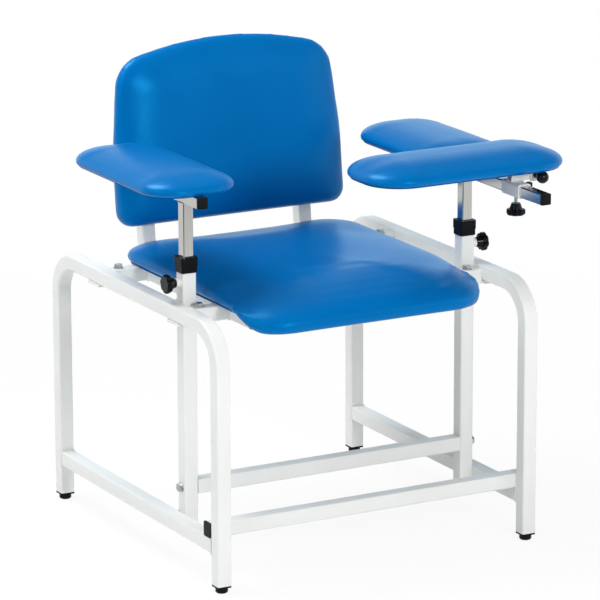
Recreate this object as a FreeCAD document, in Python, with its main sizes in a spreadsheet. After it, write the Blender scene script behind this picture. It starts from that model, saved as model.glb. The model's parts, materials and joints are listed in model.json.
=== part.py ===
import FreeCAD, Part
import math
import os
import re

import Sketcher

# A blood-draw chair: a tube frame, an upholstered seat and back, and two arm pads on posts.
# The right post also carries a third pad that slides along its bar and flips up over a hinge.
# Millimetres. The sitter faces -Y, +Z is up, and the origin is on the floor amid the four legs.

Vector = FreeCAD.Vector
Constraint = Sketcher.Constraint
doc = FreeCAD.newDocument("blood_draw_chair")

# Driving sizes of the tube frame
frame_sizes = {
    "tube": 25.4,
    "tube_wall": 1.5,
    "tube_corner": 3.0,
    "frame_width": 610.0,
    "frame_depth": 620.0,
    "rail_top": 454.0,
    "frame_bend": 62.5,
    "lower_rail_under": 64.4,
    "middle_stretcher_under": 121.0,
    "cap_thick": 3.0,
    "cap_plug": 12.0,
    "fit": 0.1,
}

# Driving sizes of the feet
foot_sizes = {
    "foot_height": 12.7,
    "insert_flange": 3.0,
    "insert_plug": 16.0,
    "glide_round": 21.0,
    "glide_edge": 2.0,
}

# Driving sizes of the tubes under the seat and behind the back
seat_frame_sizes = {
    "rear_cross_set": 143.3,
    "bracket_thick": 5.0,
    "bracket_length": 43.0,
    "tongue_width": 19.0,
    "tongue_reach": 45.0,
    "bracket_bolt_in": 22.2,
    "seat_side_in": 71.6,
    "stub_length": 74.4,
    "upright_in": 125.1,
    "upright_run": 48.0,
    "upright_bend": 38.0,
    "upright_rise": 235.0,
    "lean": 5.0,
}

# Driving sizes of the fasteners
fastener_sizes = {
    "bolt_round": 8.0,
    "bolt_hole": 8.4,
    "bolt_flats": 13.0,
    "bolt_head": 5.3,
    "nut_thick": 6.5,
    "nut_spare": 3.0,
    "washer_round": 17.0,
    "washer_thick": 1.6,
    "screw_round": 5.0,
    "screw_head_round": 10.0,
    "screw_head": 3.0,
    "screw_bite": 9.0,
}

# Driving sizes of the seat and back upholstery
seat_sizes = {
    "seat_to_sleeve": 25.2,
    "seat_to_upright": 18.3,
    "seat_depth": 513.0,
    "seat_corner": 78.0,
    "seat_thick": 34.5,
    "back_bottom": 496.0,
    "back_in_seat": 6.0,
    "back_low_taper": 2.0,
    "back_high_taper": 16.0,
    "back_widest": 120.0,
    "back_shoulder": 284.0,
    "back_peak": 330.0,
    "back_low_corner": 27.0,
    "back_high_corner": 44.0,
    "back_side_blend": 29.2,
    "back_crown_straight": 26.0,
    "back_screw_low": 55.0,
    "back_screw_high": 185.0,
    "back_thick": 54.0,
    "back_top_thick": 36.0,
    "board_thick": 12.0,
    "board_inset": 10.0,
    "drawn_in": 8.0,
    "crown_inset": 75.0,
    "front_crown_inset": 150.0,
    "back_crown_inset": 45.0,
    "lip_deep": 23.5,
    "lip_back": 48.0,
    "lip_drawn_in": 12.0,
    "lip_side_in": 50.0,
}

# Driving sizes of the posts, their sleeves and the bars on them
arm_sizes = {
    "post_tube": 19.0,
    "post_wall": 1.5,
    "post_corner": 2.0,
    "post_forward": 130.5,
    "sleeve_top": 503.0,
    "post_foot": 262.0,
    "collar_side": 28.6,
    "collar_rise": 26.0,
    "collar_plug": 10.0,
    "collar_flange": 15.0,
    "collar_lip": 1.0,
    "running_fit": 0.15,
    "left_bar_under": 621.0,
    "left_bar_front": 192.0,
    "left_bar_rear": 130.0,
    "right_bar_under": 607.0,
    "right_bar_front": 391.0,
    "right_bar_rear": 120.0,
    "left_pad_length": 346.0,
    "right_pad_length": 306.0,
    "pad_width": 166.0,
    "pad_corner": 60.0,
    "pad_thick": 31.0,
    "pad_board": 10.0,
    "pad_inset": 8.0,
    "pad_drawn_in": 4.0,
    "pad_crown_inset": 54.0,
    "left_screws_apart": 176.0,
    "right_screws_apart": 128.0,
    "left_pad_over": -2.9,
    "left_pad_forward": 10.0,
    "right_pad_over": 11.1,
    "right_pad_forward": -2.0,
}

# Driving sizes of the clamping knobs
knob_sizes = {
    "knob_height": 486.0,
    "boss_round": 16.0,
    "boss_long": 8.0,
    "stud_round": 8.0,
    "stud_fit": 0.1,
    "stud_gap": 0.3,
    "stud_in_knob": 12.0,
    "knob_round": 32.0,
    "knob_disc": 10.0,
    "knob_hub": 10.0,
    "knob_hub_round": 15.0,
    "knob_flute": 5.0,
    "knob_edge": 2.0,
}
knob_flutes = 7

# Driving sizes of the sliding carrier and the flip-up pad
flip_sizes = {
    "carrier_wall": 2.5,
    "carrier_front": 323.0,
    "carrier_rear": 270.0,
    "carrier_stud_round": 6.0,
    "carrier_stud_show": 12.5,
    "hinge_tube": 16.0,
    "hinge_tube_forward": 290.5,
    "hinge_tube_in": 9.9,
    "hinge_over": 35.6,
    "hinge_end": 8.0,
    "hinge_bolt_round": 6.0,
    "hinge_bolt_fit": 0.08,
    "hinge_head_round": 12.0,
    "hinge_head": 4.0,
    "hinge_play": 0.3,
    "ear_thick": 2.5,
    "ear_width": 20.0,
    "ear_flange": 12.0,
    "ear_low": 10.0,
    "ear_flange_long": 60.0,
    "ear_screws_apart": 44.0,
    "flip_board_lift": 3.85,
    "flip_length": 368.0,
    "flip_over": 88.1,
    "flip_forward": 252.0,
    "flip_width": 170.0,
    "flip_corner": 62.0,
    "flip_thick": 32.0,
    "ball_round": 21.0,
    "ball_neck_round": 11.0,
    "ball_reach": 20.4,
    "bumper_round": 8.0,
    "bumper_wide": 6.6,
    "bumper_high": 7.0,
    "bumper_long": 10.0,
    "bumper_forward": 313.0,
}


def fill(name, cells):
    """Make a spreadsheet whose cells carry the given names."""
    sheet = doc.addObject("Spreadsheet::Sheet", name)
    for row, (alias, content) in enumerate(cells.items(), start=1):
        sheet.set(f"A{row}", alias)
        sheet.set(f"B{row}", str(content))
        sheet.setAlias(f"B{row}", alias)
        owner[alias] = name
    doc.recompute()
    return sheet


def linked(text):
    """Write the sheet's name before each size in a sum."""
    return re.sub(r"[a-z_]+", lambda word: owner.get(word[0], "") + "." * (word[0] in owner) + word[0], text)


def number(text):
    """The value of a sum of sizes."""
    found = places.evalExpression(linked(text))
    return float(getattr(found, "Value", found))


# What follows from the driving sizes: centre lines, faces and stations
owner = {}
sizes = {}
for table in (frame_sizes, foot_sizes, seat_frame_sizes, fastener_sizes,
              seat_sizes, arm_sizes, knob_sizes, flip_sizes):
    sizes.update(table)
sheet = fill("sizes", sizes)
stations = {
    "tube_bore": "tube - 2 * tube_wall",
    "leg_out": "frame_width / 2 - tube / 2",
    "leg_forward": "frame_depth / 2 - tube / 2",
    "rail_under": "rail_top - tube",
    "sleeve_out": "frame_width / 2 - tube * 3 / 2",
    "lower_rail_top": "lower_rail_under + tube",
    "cross_height": "rail_under - bracket_thick - tube_wall + tube / 2",
    "seat_under": "cross_height + tube / 2",
    "front_cross_forward": "post_forward + tube",
    "seat_width": "frame_width - 4 * tube - 2 * seat_to_sleeve",
    "back_width": "seat_width - 2 * back_in_seat",
    "back_foot_width": "back_width - 2 * back_low_taper",
    "back_top_width": "back_width - 2 * back_high_taper",
    "back_crown_side": "sqrt(back_top_width ^ 2 / 4 + (back_peak - back_shoulder) ^ 2)",
    "back_crown_blend": "back_crown_side - back_high_corner - back_crown_straight",
    "side_out": "frame_width / 2 - tube * 3 / 2 - seat_side_in",
    "upright_out": "frame_width / 2 - tube - upright_in",
    "left_pad_out": "sleeve_out + left_pad_over",
    "right_pad_out": "sleeve_out + right_pad_over",
    "bracket_bolt_out": "frame_width / 2 - tube - bracket_bolt_in",
    "upright_start": "rear_cross_set + tube / 2",
    "upright_face": "upright_bend - tube / 2",
    "back_set": "upright_start + upright_run + upright_face / cos(lean * 1 deg)"
                " + (back_bottom - cross_height - upright_bend) * tan(lean * 1 deg)",
    "post_bore": "post_tube - 2 * post_wall",
    "left_bar_top": "left_bar_under + post_tube",
    "right_bar_top": "right_bar_under + post_tube",
    "knob_face": "sleeve_out + tube / 2 + boss_long",
    "carrier_bore": "post_tube + 2 * running_fit",
    "carrier_side": "carrier_bore + 2 * carrier_wall",
    "right_bar_height": "right_bar_under + post_tube / 2",
    "carrier_top": "right_bar_height + carrier_side / 2",
    "carrier_under": "right_bar_height - carrier_side / 2",
    "carrier_length": "carrier_front - carrier_rear",
    "carrier_forward": "(carrier_front + carrier_rear) / 2",
    "hinge_height": "carrier_top + hinge_tube / 2",
    "flip_under": "carrier_top + hinge_tube + flip_board_lift",
    "ear_set": "hinge_tube / 2 + hinge_play",
    "hinge_out": "sleeve_out + hinge_over",
    "hinge_tube_start": "sleeve_out - hinge_tube_in",
    "flip_middle": "sleeve_out + flip_over - flip_length / 2",
}
owner.update({name: "places" for name in stations})
places = fill("places", {name: "=" + linked(text) for name, text in stations.items()})
parts = []


def body(label, keep=True):
    """Start a sub-part that is built from sketches."""
    new = doc.addObject("PartDesign::Body", label)
    new.Label = label
    if keep:
        parts.append(new)
    return new


def origin_of(owner_body, role):
    """A datum plane or axis of the sub-part itself."""
    return next(datum for datum in owner_body.Origin.OriginFeatures if datum.Role == role)


def place(piece, across="0", along="0", up="0", turn=None):
    """Bind the sub-part's place to the sizes; turn is an axis with degrees."""
    if turn:
        piece.Placement = FreeCAD.Placement(Vector(), FreeCAD.Rotation(Vector(*turn[0]), turn[1]))
    for side, text in (("x", across), ("y", along), ("z", up)):
        if text != "0":
            piece.setExpression(f"Placement.Base.{side}", linked(text))
    return piece


def sketch(owner_body, role):
    """A sketch on one of the sub-part's own planes."""
    new = owner_body.newObject("Sketcher::SketchObject", f"{owner_body.Name}_outline")
    new.AttachmentSupport = [(origin_of(owner_body, role), "")]
    new.MapMode = "FlatFace"
    return new


def hold(drawing, constraint, text, label=None):
    """Add a constraint whose value follows the sizes."""
    index = drawing.addConstraint(constraint)
    label = label or f"size_{index}"
    drawing.renameConstraint(index, label)
    drawing.setExpression(f"Constraints.{label}", linked(text))


def pin(drawing, piece, end, across, up):
    """Hold one point of a sketch at a place from the origin."""
    for kind, text, axis in (("DistanceX", across, -2), ("DistanceY", up, -1)):
        value = number(text)
        if abs(value) < 1e-9:
            drawing.addConstraint(Constraint("PointOnObject", piece, end, axis))
        elif value > 0:
            hold(drawing, Constraint(kind, -1, 1, piece, end, value), text)
        else:
            hold(drawing, Constraint(kind, piece, end, -1, 1, -value), f"-({text})")


def polygon(drawing, corners):
    """A closed outline through corners that are sums of sizes."""
    spots = [Vector(number(across), number(up), 0) for across, up in corners]
    first = drawing.GeometryCount
    count = len(spots)
    for index, spot in enumerate(spots):
        drawing.addGeometry(Part.LineSegment(spot, spots[(index + 1) % count]), False)
    for index, (across, up) in enumerate(corners):
        following = first + (index + 1) % count
        drawing.addConstraint(Constraint("Coincident", first + index, 2, following, 1))
        pin(drawing, first + index, 1, across, up)


def circle(drawing, round_text, across="0", up="0"):
    """A circle of a named diameter."""
    index = drawing.GeometryCount
    middle = Vector(number(across), number(up), 0)
    drawing.addGeometry(Part.Circle(middle, Vector(0, 0, 1), number(round_text) / 2), False)
    hold(drawing, Constraint("Diameter", index, number(round_text)), round_text)
    pin(drawing, index, 3, across, up)


def rounded(drawing, wide, high, corner):
    """A rectangle about the origin with equal rounded corners."""
    first = drawing.GeometryCount
    half_wide = number(wide) / 2
    half_high = number(high) / 2
    radius = number(corner)
    flat = half_wide - radius
    rise = half_high - radius
    up = Vector(0, 0, 1)
    quarter = math.pi / 2
    lines = [((-flat, -half_high), (flat, -half_high)), ((half_wide, -rise), (half_wide, rise)),
             ((flat, half_high), (-flat, half_high)), ((-half_wide, rise), (-half_wide, -rise))]
    for start, end in lines:
        drawing.addGeometry(Part.LineSegment(Vector(*start, 0), Vector(*end, 0)), False)
    for index, (across, over) in enumerate(((flat, -rise), (flat, rise), (-flat, rise), (-flat, -rise))):
        round_corner = Part.Circle(Vector(across, over, 0), up, radius)
        start = (index - 1) * quarter
        drawing.addGeometry(Part.ArcOfCircle(round_corner, start, start + quarter), False)
    order = [0, 4, 1, 5, 2, 6, 3, 7]
    for index, piece in enumerate(order):
        following = order[(index + 1) % len(order)]
        drawing.addConstraint(Constraint("Tangent", first + piece, 2, first + following, 1))
    for side in (0, 2):
        drawing.addConstraint(Constraint("Horizontal", first + side))
        drawing.addConstraint(Constraint("Vertical", first + side + 1))
    for arc in (4, 5, 6):
        drawing.addConstraint(Constraint("Equal", first + arc, first + arc + 1))
    drawing.addConstraint(Constraint("Symmetric", first + 4, 3, first + 6, 3, -1, 1))
    hold(drawing, Constraint("DistanceX", first + 3, 1, first + 1, 1, 2 * half_wide), wide)
    hold(drawing, Constraint("DistanceY", first, 1, first + 2, 1, 2 * half_high), high)
    hold(drawing, Constraint("Radius", first + 4, radius), corner)


def hexagon(drawing, flats):
    """A hexagon about the origin, sized across its flats."""
    reach = number(flats) / math.sqrt(3)
    first = drawing.GeometryCount
    spots = [Vector(reach * math.cos(k * math.pi / 3), reach * math.sin(k * math.pi / 3), 0) for k in range(6)]
    for index, spot in enumerate(spots):
        drawing.addGeometry(Part.LineSegment(spot, spots[(index + 1) % 6]), False)
    drawing.addGeometry(Part.Circle(Vector(), Vector(0, 0, 1), reach), True)
    for index in range(6):
        drawing.addConstraint(Constraint("Coincident", first + index, 2, first + (index + 1) % 6, 1))
        drawing.addConstraint(Constraint("PointOnObject", first + index, 1, first + 6))
    for index in range(5):
        drawing.addConstraint(Constraint("Equal", first + index, first + index + 1))
    drawing.addConstraint(Constraint("Coincident", first + 6, 3, -1, 1))
    drawing.addConstraint(Constraint("PointOnObject", first, 1, -1))
    hold(drawing, Constraint("Radius", first + 6, reach), f"({flats}) / sqrt(3)")


def pad(owner_body, drawing, length, side="One side", reverse=False):
    """Thicken a sketch."""
    new = owner_body.newObject("PartDesign::Pad", f"{owner_body.Name}_pad")
    new.Profile = drawing
    new.SideType = side
    new.Reversed = reverse
    new.Length = number(length)
    new.setExpression("Length", linked(length))
    return new


def cut(owner_body, drawing):
    """Cut a sketch right through the sub-part, both ways."""
    doc.recompute()
    before = owner_body.Shape.Volume
    new = owner_body.newObject("PartDesign::Pocket", f"{owner_body.Name}_cut")
    new.Profile = drawing
    new.Type = "ThroughAll"
    new.SideType = "Symmetric"
    doc.recompute()
    if owner_body.Shape.Volume >= before:
        raise RuntimeError(f"{new.Name} removes nothing")
    return new


def drill(owner_body, role, round_text, spots):
    """Round holes right through the sub-part at the given spots of a plane."""
    drawing = sketch(owner_body, role)
    for across, up in spots:
        circle(drawing, round_text, across, up)
    cut(owner_body, drawing)


def turned(owner_body, corners):
    """Turn an outline of radius and height once round the sub-part's Z axis."""
    drawing = sketch(owner_body, "XZ_Plane")
    polygon(drawing, corners)
    new = owner_body.newObject("PartDesign::Revolution", f"{owner_body.Name}_turn")
    new.Profile = drawing
    new.ReferenceAxis = (drawing, ["V_Axis"])
    new.Angle = 360
    return new


def square_tube(label, plane, side, wall, corner, length, keep=True):
    """A straight square tube centred on the origin, along the normal of a plane."""
    new = body(label, keep)
    drawing = sketch(new, plane)
    rounded(drawing, side, side, corner)
    rounded(drawing, f"{side} - 2 * {wall}", f"{side} - 2 * {wall}", f"{corner} - {wall}")
    pad(new, drawing, length, "Symmetric")
    return new


def frame_tube(label, plane, length, keep=True):
    """A straight length of the frame's tube."""
    return square_tube(label, plane, "tube", "tube_wall", "tube_corner", length, keep)


def post_tubing(label, plane, length, keep=True):
    """A straight length of the posts' tube."""
    return square_tube(label, plane, "post_tube", "post_wall", "post_corner", length, keep)


def copies(label, pattern, spots):
    """One sub-part made of several separate copies of a pattern."""
    links = []
    for index, (across, along, up, turn) in enumerate(spots):
        copy = doc.addObject("App::Link", f"{label}_{index + 1}")
        copy.LinkedObject = pattern
        if turn:
            copy.Placement = FreeCAD.Placement(Vector(), FreeCAD.Rotation(Vector(*turn[0]), turn[1]))
        for side, text in (("x", across), ("y", along), ("z", up)):
            if text != "0":
                copy.setExpression(f"Placement.Base.{side}", linked(text))
        links.append(copy)
    group = doc.addObject("Part::Compound", label)
    group.Label = label
    group.Links = links
    parts.append(group)
    return group


def rod(label, round_text, length, keep=True):
    """A plain round rod that stands on its own origin."""
    new = doc.addObject("Part::Cylinder", label)
    new.Label = label
    new.setExpression("Radius", linked(f"({round_text}) / 2"))
    new.setExpression("Height", linked(length))
    if keep:
        parts.append(new)
    return new


def without(label, base, tools):
    """A sub-part that is one shape less several tools."""
    gathered = doc.addObject("Part::Compound", f"{label}_tools")
    gathered.Links = tools
    new = doc.addObject("Part::Cut", label)
    new.Label = label
    new.Base = base
    new.Tool = gathered
    parts.append(new)
    return new


# Directions that turn a sub-part's own Z axis
UPSIDE_DOWN = ((1, 0, 0), 180)
TO_LEFT_HAND = ((0, 1, 0), 90)
TO_RIGHT_HAND = ((0, 1, 0), -90)
TO_FRONT = ((1, 0, 0), 90)
TO_REAR = ((1, 0, 0), -90)

# Bent side frames, one tube each: a leg, the top rail and the other leg
for hand, sign in (("left", "-"), ("right", "")):
    side_frame = body(f"side_frame_{hand}")
    section = sketch(side_frame, "XY_Plane")
    rounded(section, "tube", "tube", "tube_corner")
    rounded(section, "tube_bore", "tube_bore", "tube_corner - tube_wall")
    route = sketch(side_frame, "YZ_Plane")
    bend = number("frame_bend")
    rise = number("rail_top - tube / 2 - foot_height")
    span = number("2 * leg_forward")
    out = Vector(0, 0, 1)
    route.addGeometry([
        Part.LineSegment(Vector(), Vector(0, rise - bend, 0)),
        Part.ArcOfCircle(Part.Circle(Vector(bend, rise - bend, 0), out, bend), math.pi / 2, math.pi),
        Part.LineSegment(Vector(bend, rise, 0), Vector(span - bend, rise, 0)),
        Part.ArcOfCircle(Part.Circle(Vector(span - bend, rise - bend, 0), out, bend), 0, math.pi / 2),
        Part.LineSegment(Vector(span, rise - bend, 0), Vector(span, 0, 0)),
    ], False)
    route.addConstraint([
        Constraint("Coincident", 0, 1, -1, 1), Constraint("Vertical", 0),
        Constraint("Tangent", 0, 2, 1, 2), Constraint("Tangent", 1, 1, 2, 1),
        Constraint("Tangent", 2, 2, 3, 2), Constraint("Tangent", 3, 1, 4, 1),
        Constraint("Horizontal", 2), Constraint("Vertical", 4),
        Constraint("Equal", 1, 3), Constraint("PointOnObject", 4, 2, -1),
    ])
    hold(route, Constraint("Radius", 1, bend), "frame_bend")
    hold(route, Constraint("DistanceY", -1, 1, 2, 1, rise), "rail_top - tube / 2 - foot_height")
    hold(route, Constraint("DistanceX", -1, 1, 4, 2, span), "2 * leg_forward")
    sweep = side_frame.newObject("PartDesign::AdditivePipe", f"side_frame_{hand}_sweep")
    sweep.Profile = section
    sweep.Spine = (route, [])
    place(side_frame, f"{sign}leg_out", "-leg_forward", "foot_height")

# Lower rails, butted between the legs
lower_rail = frame_tube("lower_rail", "XZ_Plane", "frame_depth - 2 * tube", keep=False)
copies("lower_rails", lower_rail, [(f"{sign}leg_out", "0", "lower_rail_under + tube / 2", None)
                                   for sign in ("", "-")])

# Post sleeves, welded against the inner sides of both rails
for hand, sign in (("left", "-"), ("right", "")):
    sleeve = frame_tube(f"post_sleeve_{hand}", "XY_Plane", "sleeve_top - lower_rail_under")
    middle = "(sleeve_top + lower_rail_under) / 2"
    drill(sleeve, "YZ_Plane", "bolt_hole", [("0", f"middle_stretcher_under + tube / 2 - {middle}")])
    stud_side = sketch(sleeve, "YZ_Plane")
    circle(stud_side, "bolt_hole", "0", f"knob_height - {middle}")
    opening = sleeve.newObject("PartDesign::Pocket", f"stud_hole_{hand}")
    opening.Profile = stud_side
    opening.Type = "ThroughAll"
    opening.Reversed = hand == "right"
    place(sleeve, f"{sign}sleeve_out", "-post_forward", middle)

# Front stretcher on the lower rails, with its end caps, and the middle stretcher between the sleeves
stretcher = frame_tube("front_stretcher", "YZ_Plane", "frame_width - 2 * cap_thick")
place(stretcher, "0", "-(frame_depth / 2 - tube * 3 / 2)", "lower_rail_top + tube / 2")
middle_bar = frame_tube("middle_stretcher", "YZ_Plane", "2 * sleeve_out - tube")
place(middle_bar, "0", "-post_forward", "middle_stretcher_under + tube / 2")

end_cap = body("tube_cap", keep=False)
cap_face = sketch(end_cap, "XY_Plane")
rounded(cap_face, "tube", "tube", "tube_corner")
pad(end_cap, cap_face, "cap_thick")
cap_stem = sketch(end_cap, "XY_Plane")
rounded(cap_stem, "tube_bore - fit", "tube_bore - fit", "tube_corner - tube_wall")
pad(end_cap, cap_stem, "cap_plug", reverse=True)
tube_ends = [
    (f"{sign}(frame_width / 2 - cap_thick)", "-(frame_depth / 2 - tube * 3 / 2)",
     "lower_rail_top + tube / 2", turn)
    for sign, turn in (("", TO_LEFT_HAND), ("-", TO_RIGHT_HAND))
]

# Threaded plugs in the ends of the middle stretcher, and the bolts that draw it to the sleeves
plug = body("threaded_plug", keep=False)
plug_face = sketch(plug, "XY_Plane")
rounded(plug_face, "tube_bore - fit", "tube_bore - fit", "tube_corner - tube_wall")
circle(plug_face, "bolt_round")
pad(plug, plug_face, "cap_plug")
bolt_height = "middle_stretcher_under + tube / 2"
copies("stretcher_plugs", plug, [
    ("sleeve_out - tube / 2", "-post_forward", bolt_height, TO_RIGHT_HAND),
    ("-(sleeve_out - tube / 2)", "-post_forward", bolt_height, TO_LEFT_HAND),
])


def bolt_pattern(name, shank):
    """A hexagon bolt with a washer: its washer lies on z = 0 and the shank goes down."""
    new = body(name, keep=False)
    turned(new, [("0", f"-({shank})"), ("bolt_round / 2", f"-({shank})"), ("bolt_round / 2", "0"),
                 ("washer_round / 2", "0"), ("washer_round / 2", "washer_thick"), ("0", "washer_thick")])
    head = sketch(new, "XY_Plane")
    hexagon(head, "bolt_flats")
    pad(new, head, "washer_thick + bolt_head")
    return new


copies("stretcher_bolts", bolt_pattern("stretcher_bolt", "tube + cap_plug"), [
    ("sleeve_out + tube / 2", "-post_forward", bolt_height, TO_LEFT_HAND),
    ("-(sleeve_out + tube / 2)", "-post_forward", bolt_height, TO_RIGHT_HAND),
])

# Tee brackets welded under the top rails, their tongues inside the cross tubes
bracket = body("tee_bracket", keep=False)
tee = sketch(bracket, "XY_Plane")
polygon(tee, [("0", "-bracket_length / 2"), ("tube", "-bracket_length / 2"), ("tube", "bracket_length / 2"),
              ("0", "bracket_length / 2"), ("0", "tongue_width / 2"), ("-tongue_reach", "tongue_width / 2"),
              ("-tongue_reach", "-tongue_width / 2"), ("0", "-tongue_width / 2")])
circle(tee, "bolt_hole", "-bracket_bolt_in")
pad(bracket, tee, "bracket_thick")
HALF_TURN = ((0, 0, 1), 180)
stations_along = ("-front_cross_forward", "rear_cross_set")
copies("seat_brackets", bracket, [
    (f"{sign}(frame_width / 2 - tube)", along, "rail_under - bracket_thick", turn)
    for sign, turn in (("", None), ("-", HALF_TURN)) for along in stations_along
])

# Cross tubes between the rails, bolted through the tongues
for label, along in zip(("front_cross_tube", "rear_cross_tube"), stations_along):
    cross = frame_tube(label, "YZ_Plane", "frame_width - 2 * tube")
    drill(cross, "XY_Plane", "bolt_hole", [("bracket_bolt_out", "0"), ("-bracket_bolt_out", "0")])
    place(cross, "0", along, "cross_height")
corner_bolts = [(f"{sign}bracket_bolt_out", along) for sign in ("", "-") for along in stations_along]
long_bolt = bolt_pattern("cross_bolt", "tube + washer_thick + nut_thick + nut_spare")
copies("seat_frame_bolts", long_bolt, [(out_x, along, "seat_under", None) for out_x, along in corner_bolts])
nut = body("lock_nut", keep=False)
nut_face = sketch(nut, "XY_Plane")
hexagon(nut_face, "bolt_flats")
circle(nut_face, "bolt_round")
pad(nut, nut_face, "washer_thick + nut_thick", reverse=True)
nut_washer = sketch(nut, "XY_Plane")
circle(nut_washer, "washer_round")
circle(nut_washer, "bolt_round")
pad(nut, nut_washer, "washer_thick", reverse=True)
copies("seat_frame_nuts", nut, [(out_x, along, "seat_under - tube", None) for out_x, along in corner_bolts])

# Side tubes between the cross tubes and stub tubes in front of them, under the seat
side_length = "rear_cross_set + front_cross_forward - tube"
side_middle = "(rear_cross_set - front_cross_forward) / 2"
seat_screw_along = ("-seat_depth / 7", "seat_depth / 7")
for hand, sign in (("left", "-"), ("right", "")):
    side_tube = frame_tube(f"seat_side_tube_{hand}", "XZ_Plane", side_length)
    drill(side_tube, "XY_Plane", "screw_round", [("0", along) for along in seat_screw_along])
    place(side_tube, f"{sign}side_out", side_middle, "cross_height")
stub = frame_tube("seat_stub", "XZ_Plane", "stub_length - cap_thick", keep=False)
drill(stub, "XY_Plane", "screw_round", [("0", "0")])
stub_middle = "-(front_cross_forward + tube / 2 + (stub_length - cap_thick) / 2)"
copies("seat_stubs", stub, [(f"{sign}side_out", stub_middle, "cross_height", None) for sign in ("", "-")])
stub_tip = "-(front_cross_forward + tube / 2 + stub_length - cap_thick)"
tube_ends += [(f"{sign}side_out", stub_tip, "cross_height", TO_FRONT) for sign in ("", "-")]

# Where the back's screws sit on the rear faces of the uprights
LEAN_SIN = "sin(lean * 1 deg)"
LEAN_COS = "cos(lean * 1 deg)"
FROM_BEHIND = ((1, 0, 0), -(90 + sizes["lean"]))
FACING_FRONT = ((1, 0, 0), 90 - sizes["lean"])
back_screw_spots = [
    (f"{sign}upright_out", f"back_set + {height} * {LEAN_SIN} + tube * {LEAN_COS}",
     f"back_bottom + {height} * {LEAN_COS} - tube * {LEAN_SIN}", FROM_BEHIND)
    for sign in ("-", "") for height in ("back_screw_low", "back_screw_high")
]

# Back uprights, bent up from the rear cross tube and leaning back
for hand, sign in (("left", "-"), ("right", "")):
    upright = body(f"plain_upright_{hand}", keep=False)
    section = sketch(upright, "XZ_Plane")
    rounded(section, "tube", "tube", "tube_corner")
    rounded(section, "tube_bore", "tube_bore", "tube_corner - tube_wall")
    route = sketch(upright, "YZ_Plane")
    run = number("upright_run")
    bend = number("upright_bend")
    lean = math.radians(number("lean"))
    turn_end = Vector(run + bend * math.cos(lean), bend - bend * math.sin(lean), 0)
    rising = Vector(math.sin(lean), math.cos(lean), 0) * number("upright_rise")
    elbow = Part.Circle(Vector(run, bend, 0), Vector(0, 0, 1), bend)
    route.addGeometry([
        Part.LineSegment(Vector(), Vector(run, 0, 0)),
        Part.ArcOfCircle(elbow, -math.pi / 2, -lean),
        Part.LineSegment(turn_end, turn_end + rising),
    ], False)
    route.addConstraint([
        Constraint("Coincident", 0, 1, -1, 1), Constraint("Horizontal", 0),
        Constraint("Tangent", 0, 2, 1, 1), Constraint("Tangent", 1, 2, 2, 1),
    ])
    hold(route, Constraint("DistanceX", -1, 1, 0, 2, run), "upright_run")
    hold(route, Constraint("Radius", 1, bend), "upright_bend")
    hold(route, Constraint("Distance", 2, number("upright_rise")), "upright_rise")
    hold(route, Constraint("Angle", 0, 1, 2, 1, math.pi / 2 - lean), "90 deg - lean * 1 deg")
    sweep = upright.newObject("PartDesign::AdditivePipe", f"back_upright_{hand}_sweep")
    sweep.Profile = section
    sweep.Spine = (route, [])
    place(upright, f"{sign}upright_out", "upright_start", "cross_height")
    holes = []
    for across, along, up, turn in back_screw_spots:
        if across.startswith("-") == (hand == "left"):
            hole = rod(f"screw_hole_{hand}_{len(holes) + 1}", "screw_round", "tube", keep=False)
            holes.append(place(hole, across, along, up, FACING_FRONT))
    without(f"back_upright_{hand}", upright, holes)
upright_tip = (f"upright_start + upright_run + upright_bend * {LEAN_COS} + upright_rise * {LEAN_SIN}",
               f"cross_height + upright_bend * (1 - {LEAN_SIN}) + upright_rise * {LEAN_COS}")
tube_ends += [(f"{sign}upright_out", *upright_tip, ((1, 0, 0), -sizes["lean"])) for sign in ("", "-")]
copies("tube_caps", end_cap, tube_ends)

# Feet: square inserts in the open leg ends, with round glides under them
insert = body("foot_insert", keep=False)
flange = sketch(insert, "XY_Plane")
rounded(flange, "tube", "tube", "tube_corner")
pad(insert, flange, "insert_flange", reverse=True)
stem = sketch(insert, "XY_Plane")
rounded(stem, "tube_bore - fit", "tube_bore - fit", "tube_corner - tube_wall")
pad(insert, stem, "insert_plug")
glide = body("foot_glide", keep=False)
glide_top = "foot_height - insert_flange"
turned(glide, [("0", "0"), ("glide_round / 2 - glide_edge", "0"), ("glide_round / 2", "glide_edge"),
               ("glide_round / 2", glide_top), ("0", glide_top)])
legs = [(f"{side}leg_out", f"{end}leg_forward") for side in ("-", "") for end in ("-", "")]
copies("foot_inserts", insert, [(across, along, "foot_height", None) for across, along in legs])
copies("foot_glides", glide, [(across, along, "0", None) for across, along in legs])

# Collars that guide the posts at the mouths of the sleeves
for hand, sign in (("left", "-"), ("right", "")):
    collar = body(f"collar_{hand}")
    for side, corner, start, length in (
            ("tube_bore - fit", "tube_corner - tube_wall", "-collar_plug", "collar_plug"),
            ("collar_side", "tube_corner", "0", "collar_rise - collar_flange"),
            ("collar_side + 2 * collar_lip", "tube_corner + collar_lip", "collar_rise - collar_flange",
             "collar_flange")):
        ring = sketch(collar, "XY_Plane")
        ring.AttachmentOffset.Base.z = number(start)
        ring.setExpression("AttachmentOffset.Base.z", linked(start))
        rounded(ring, side, side, corner)
        rounded(ring, "post_tube + 2 * running_fit", "post_tube + 2 * running_fit", "post_corner + running_fit")
        pad(collar, ring, length)
    place(collar, f"{sign}sleeve_out", "-post_forward", "sleeve_top")

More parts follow.
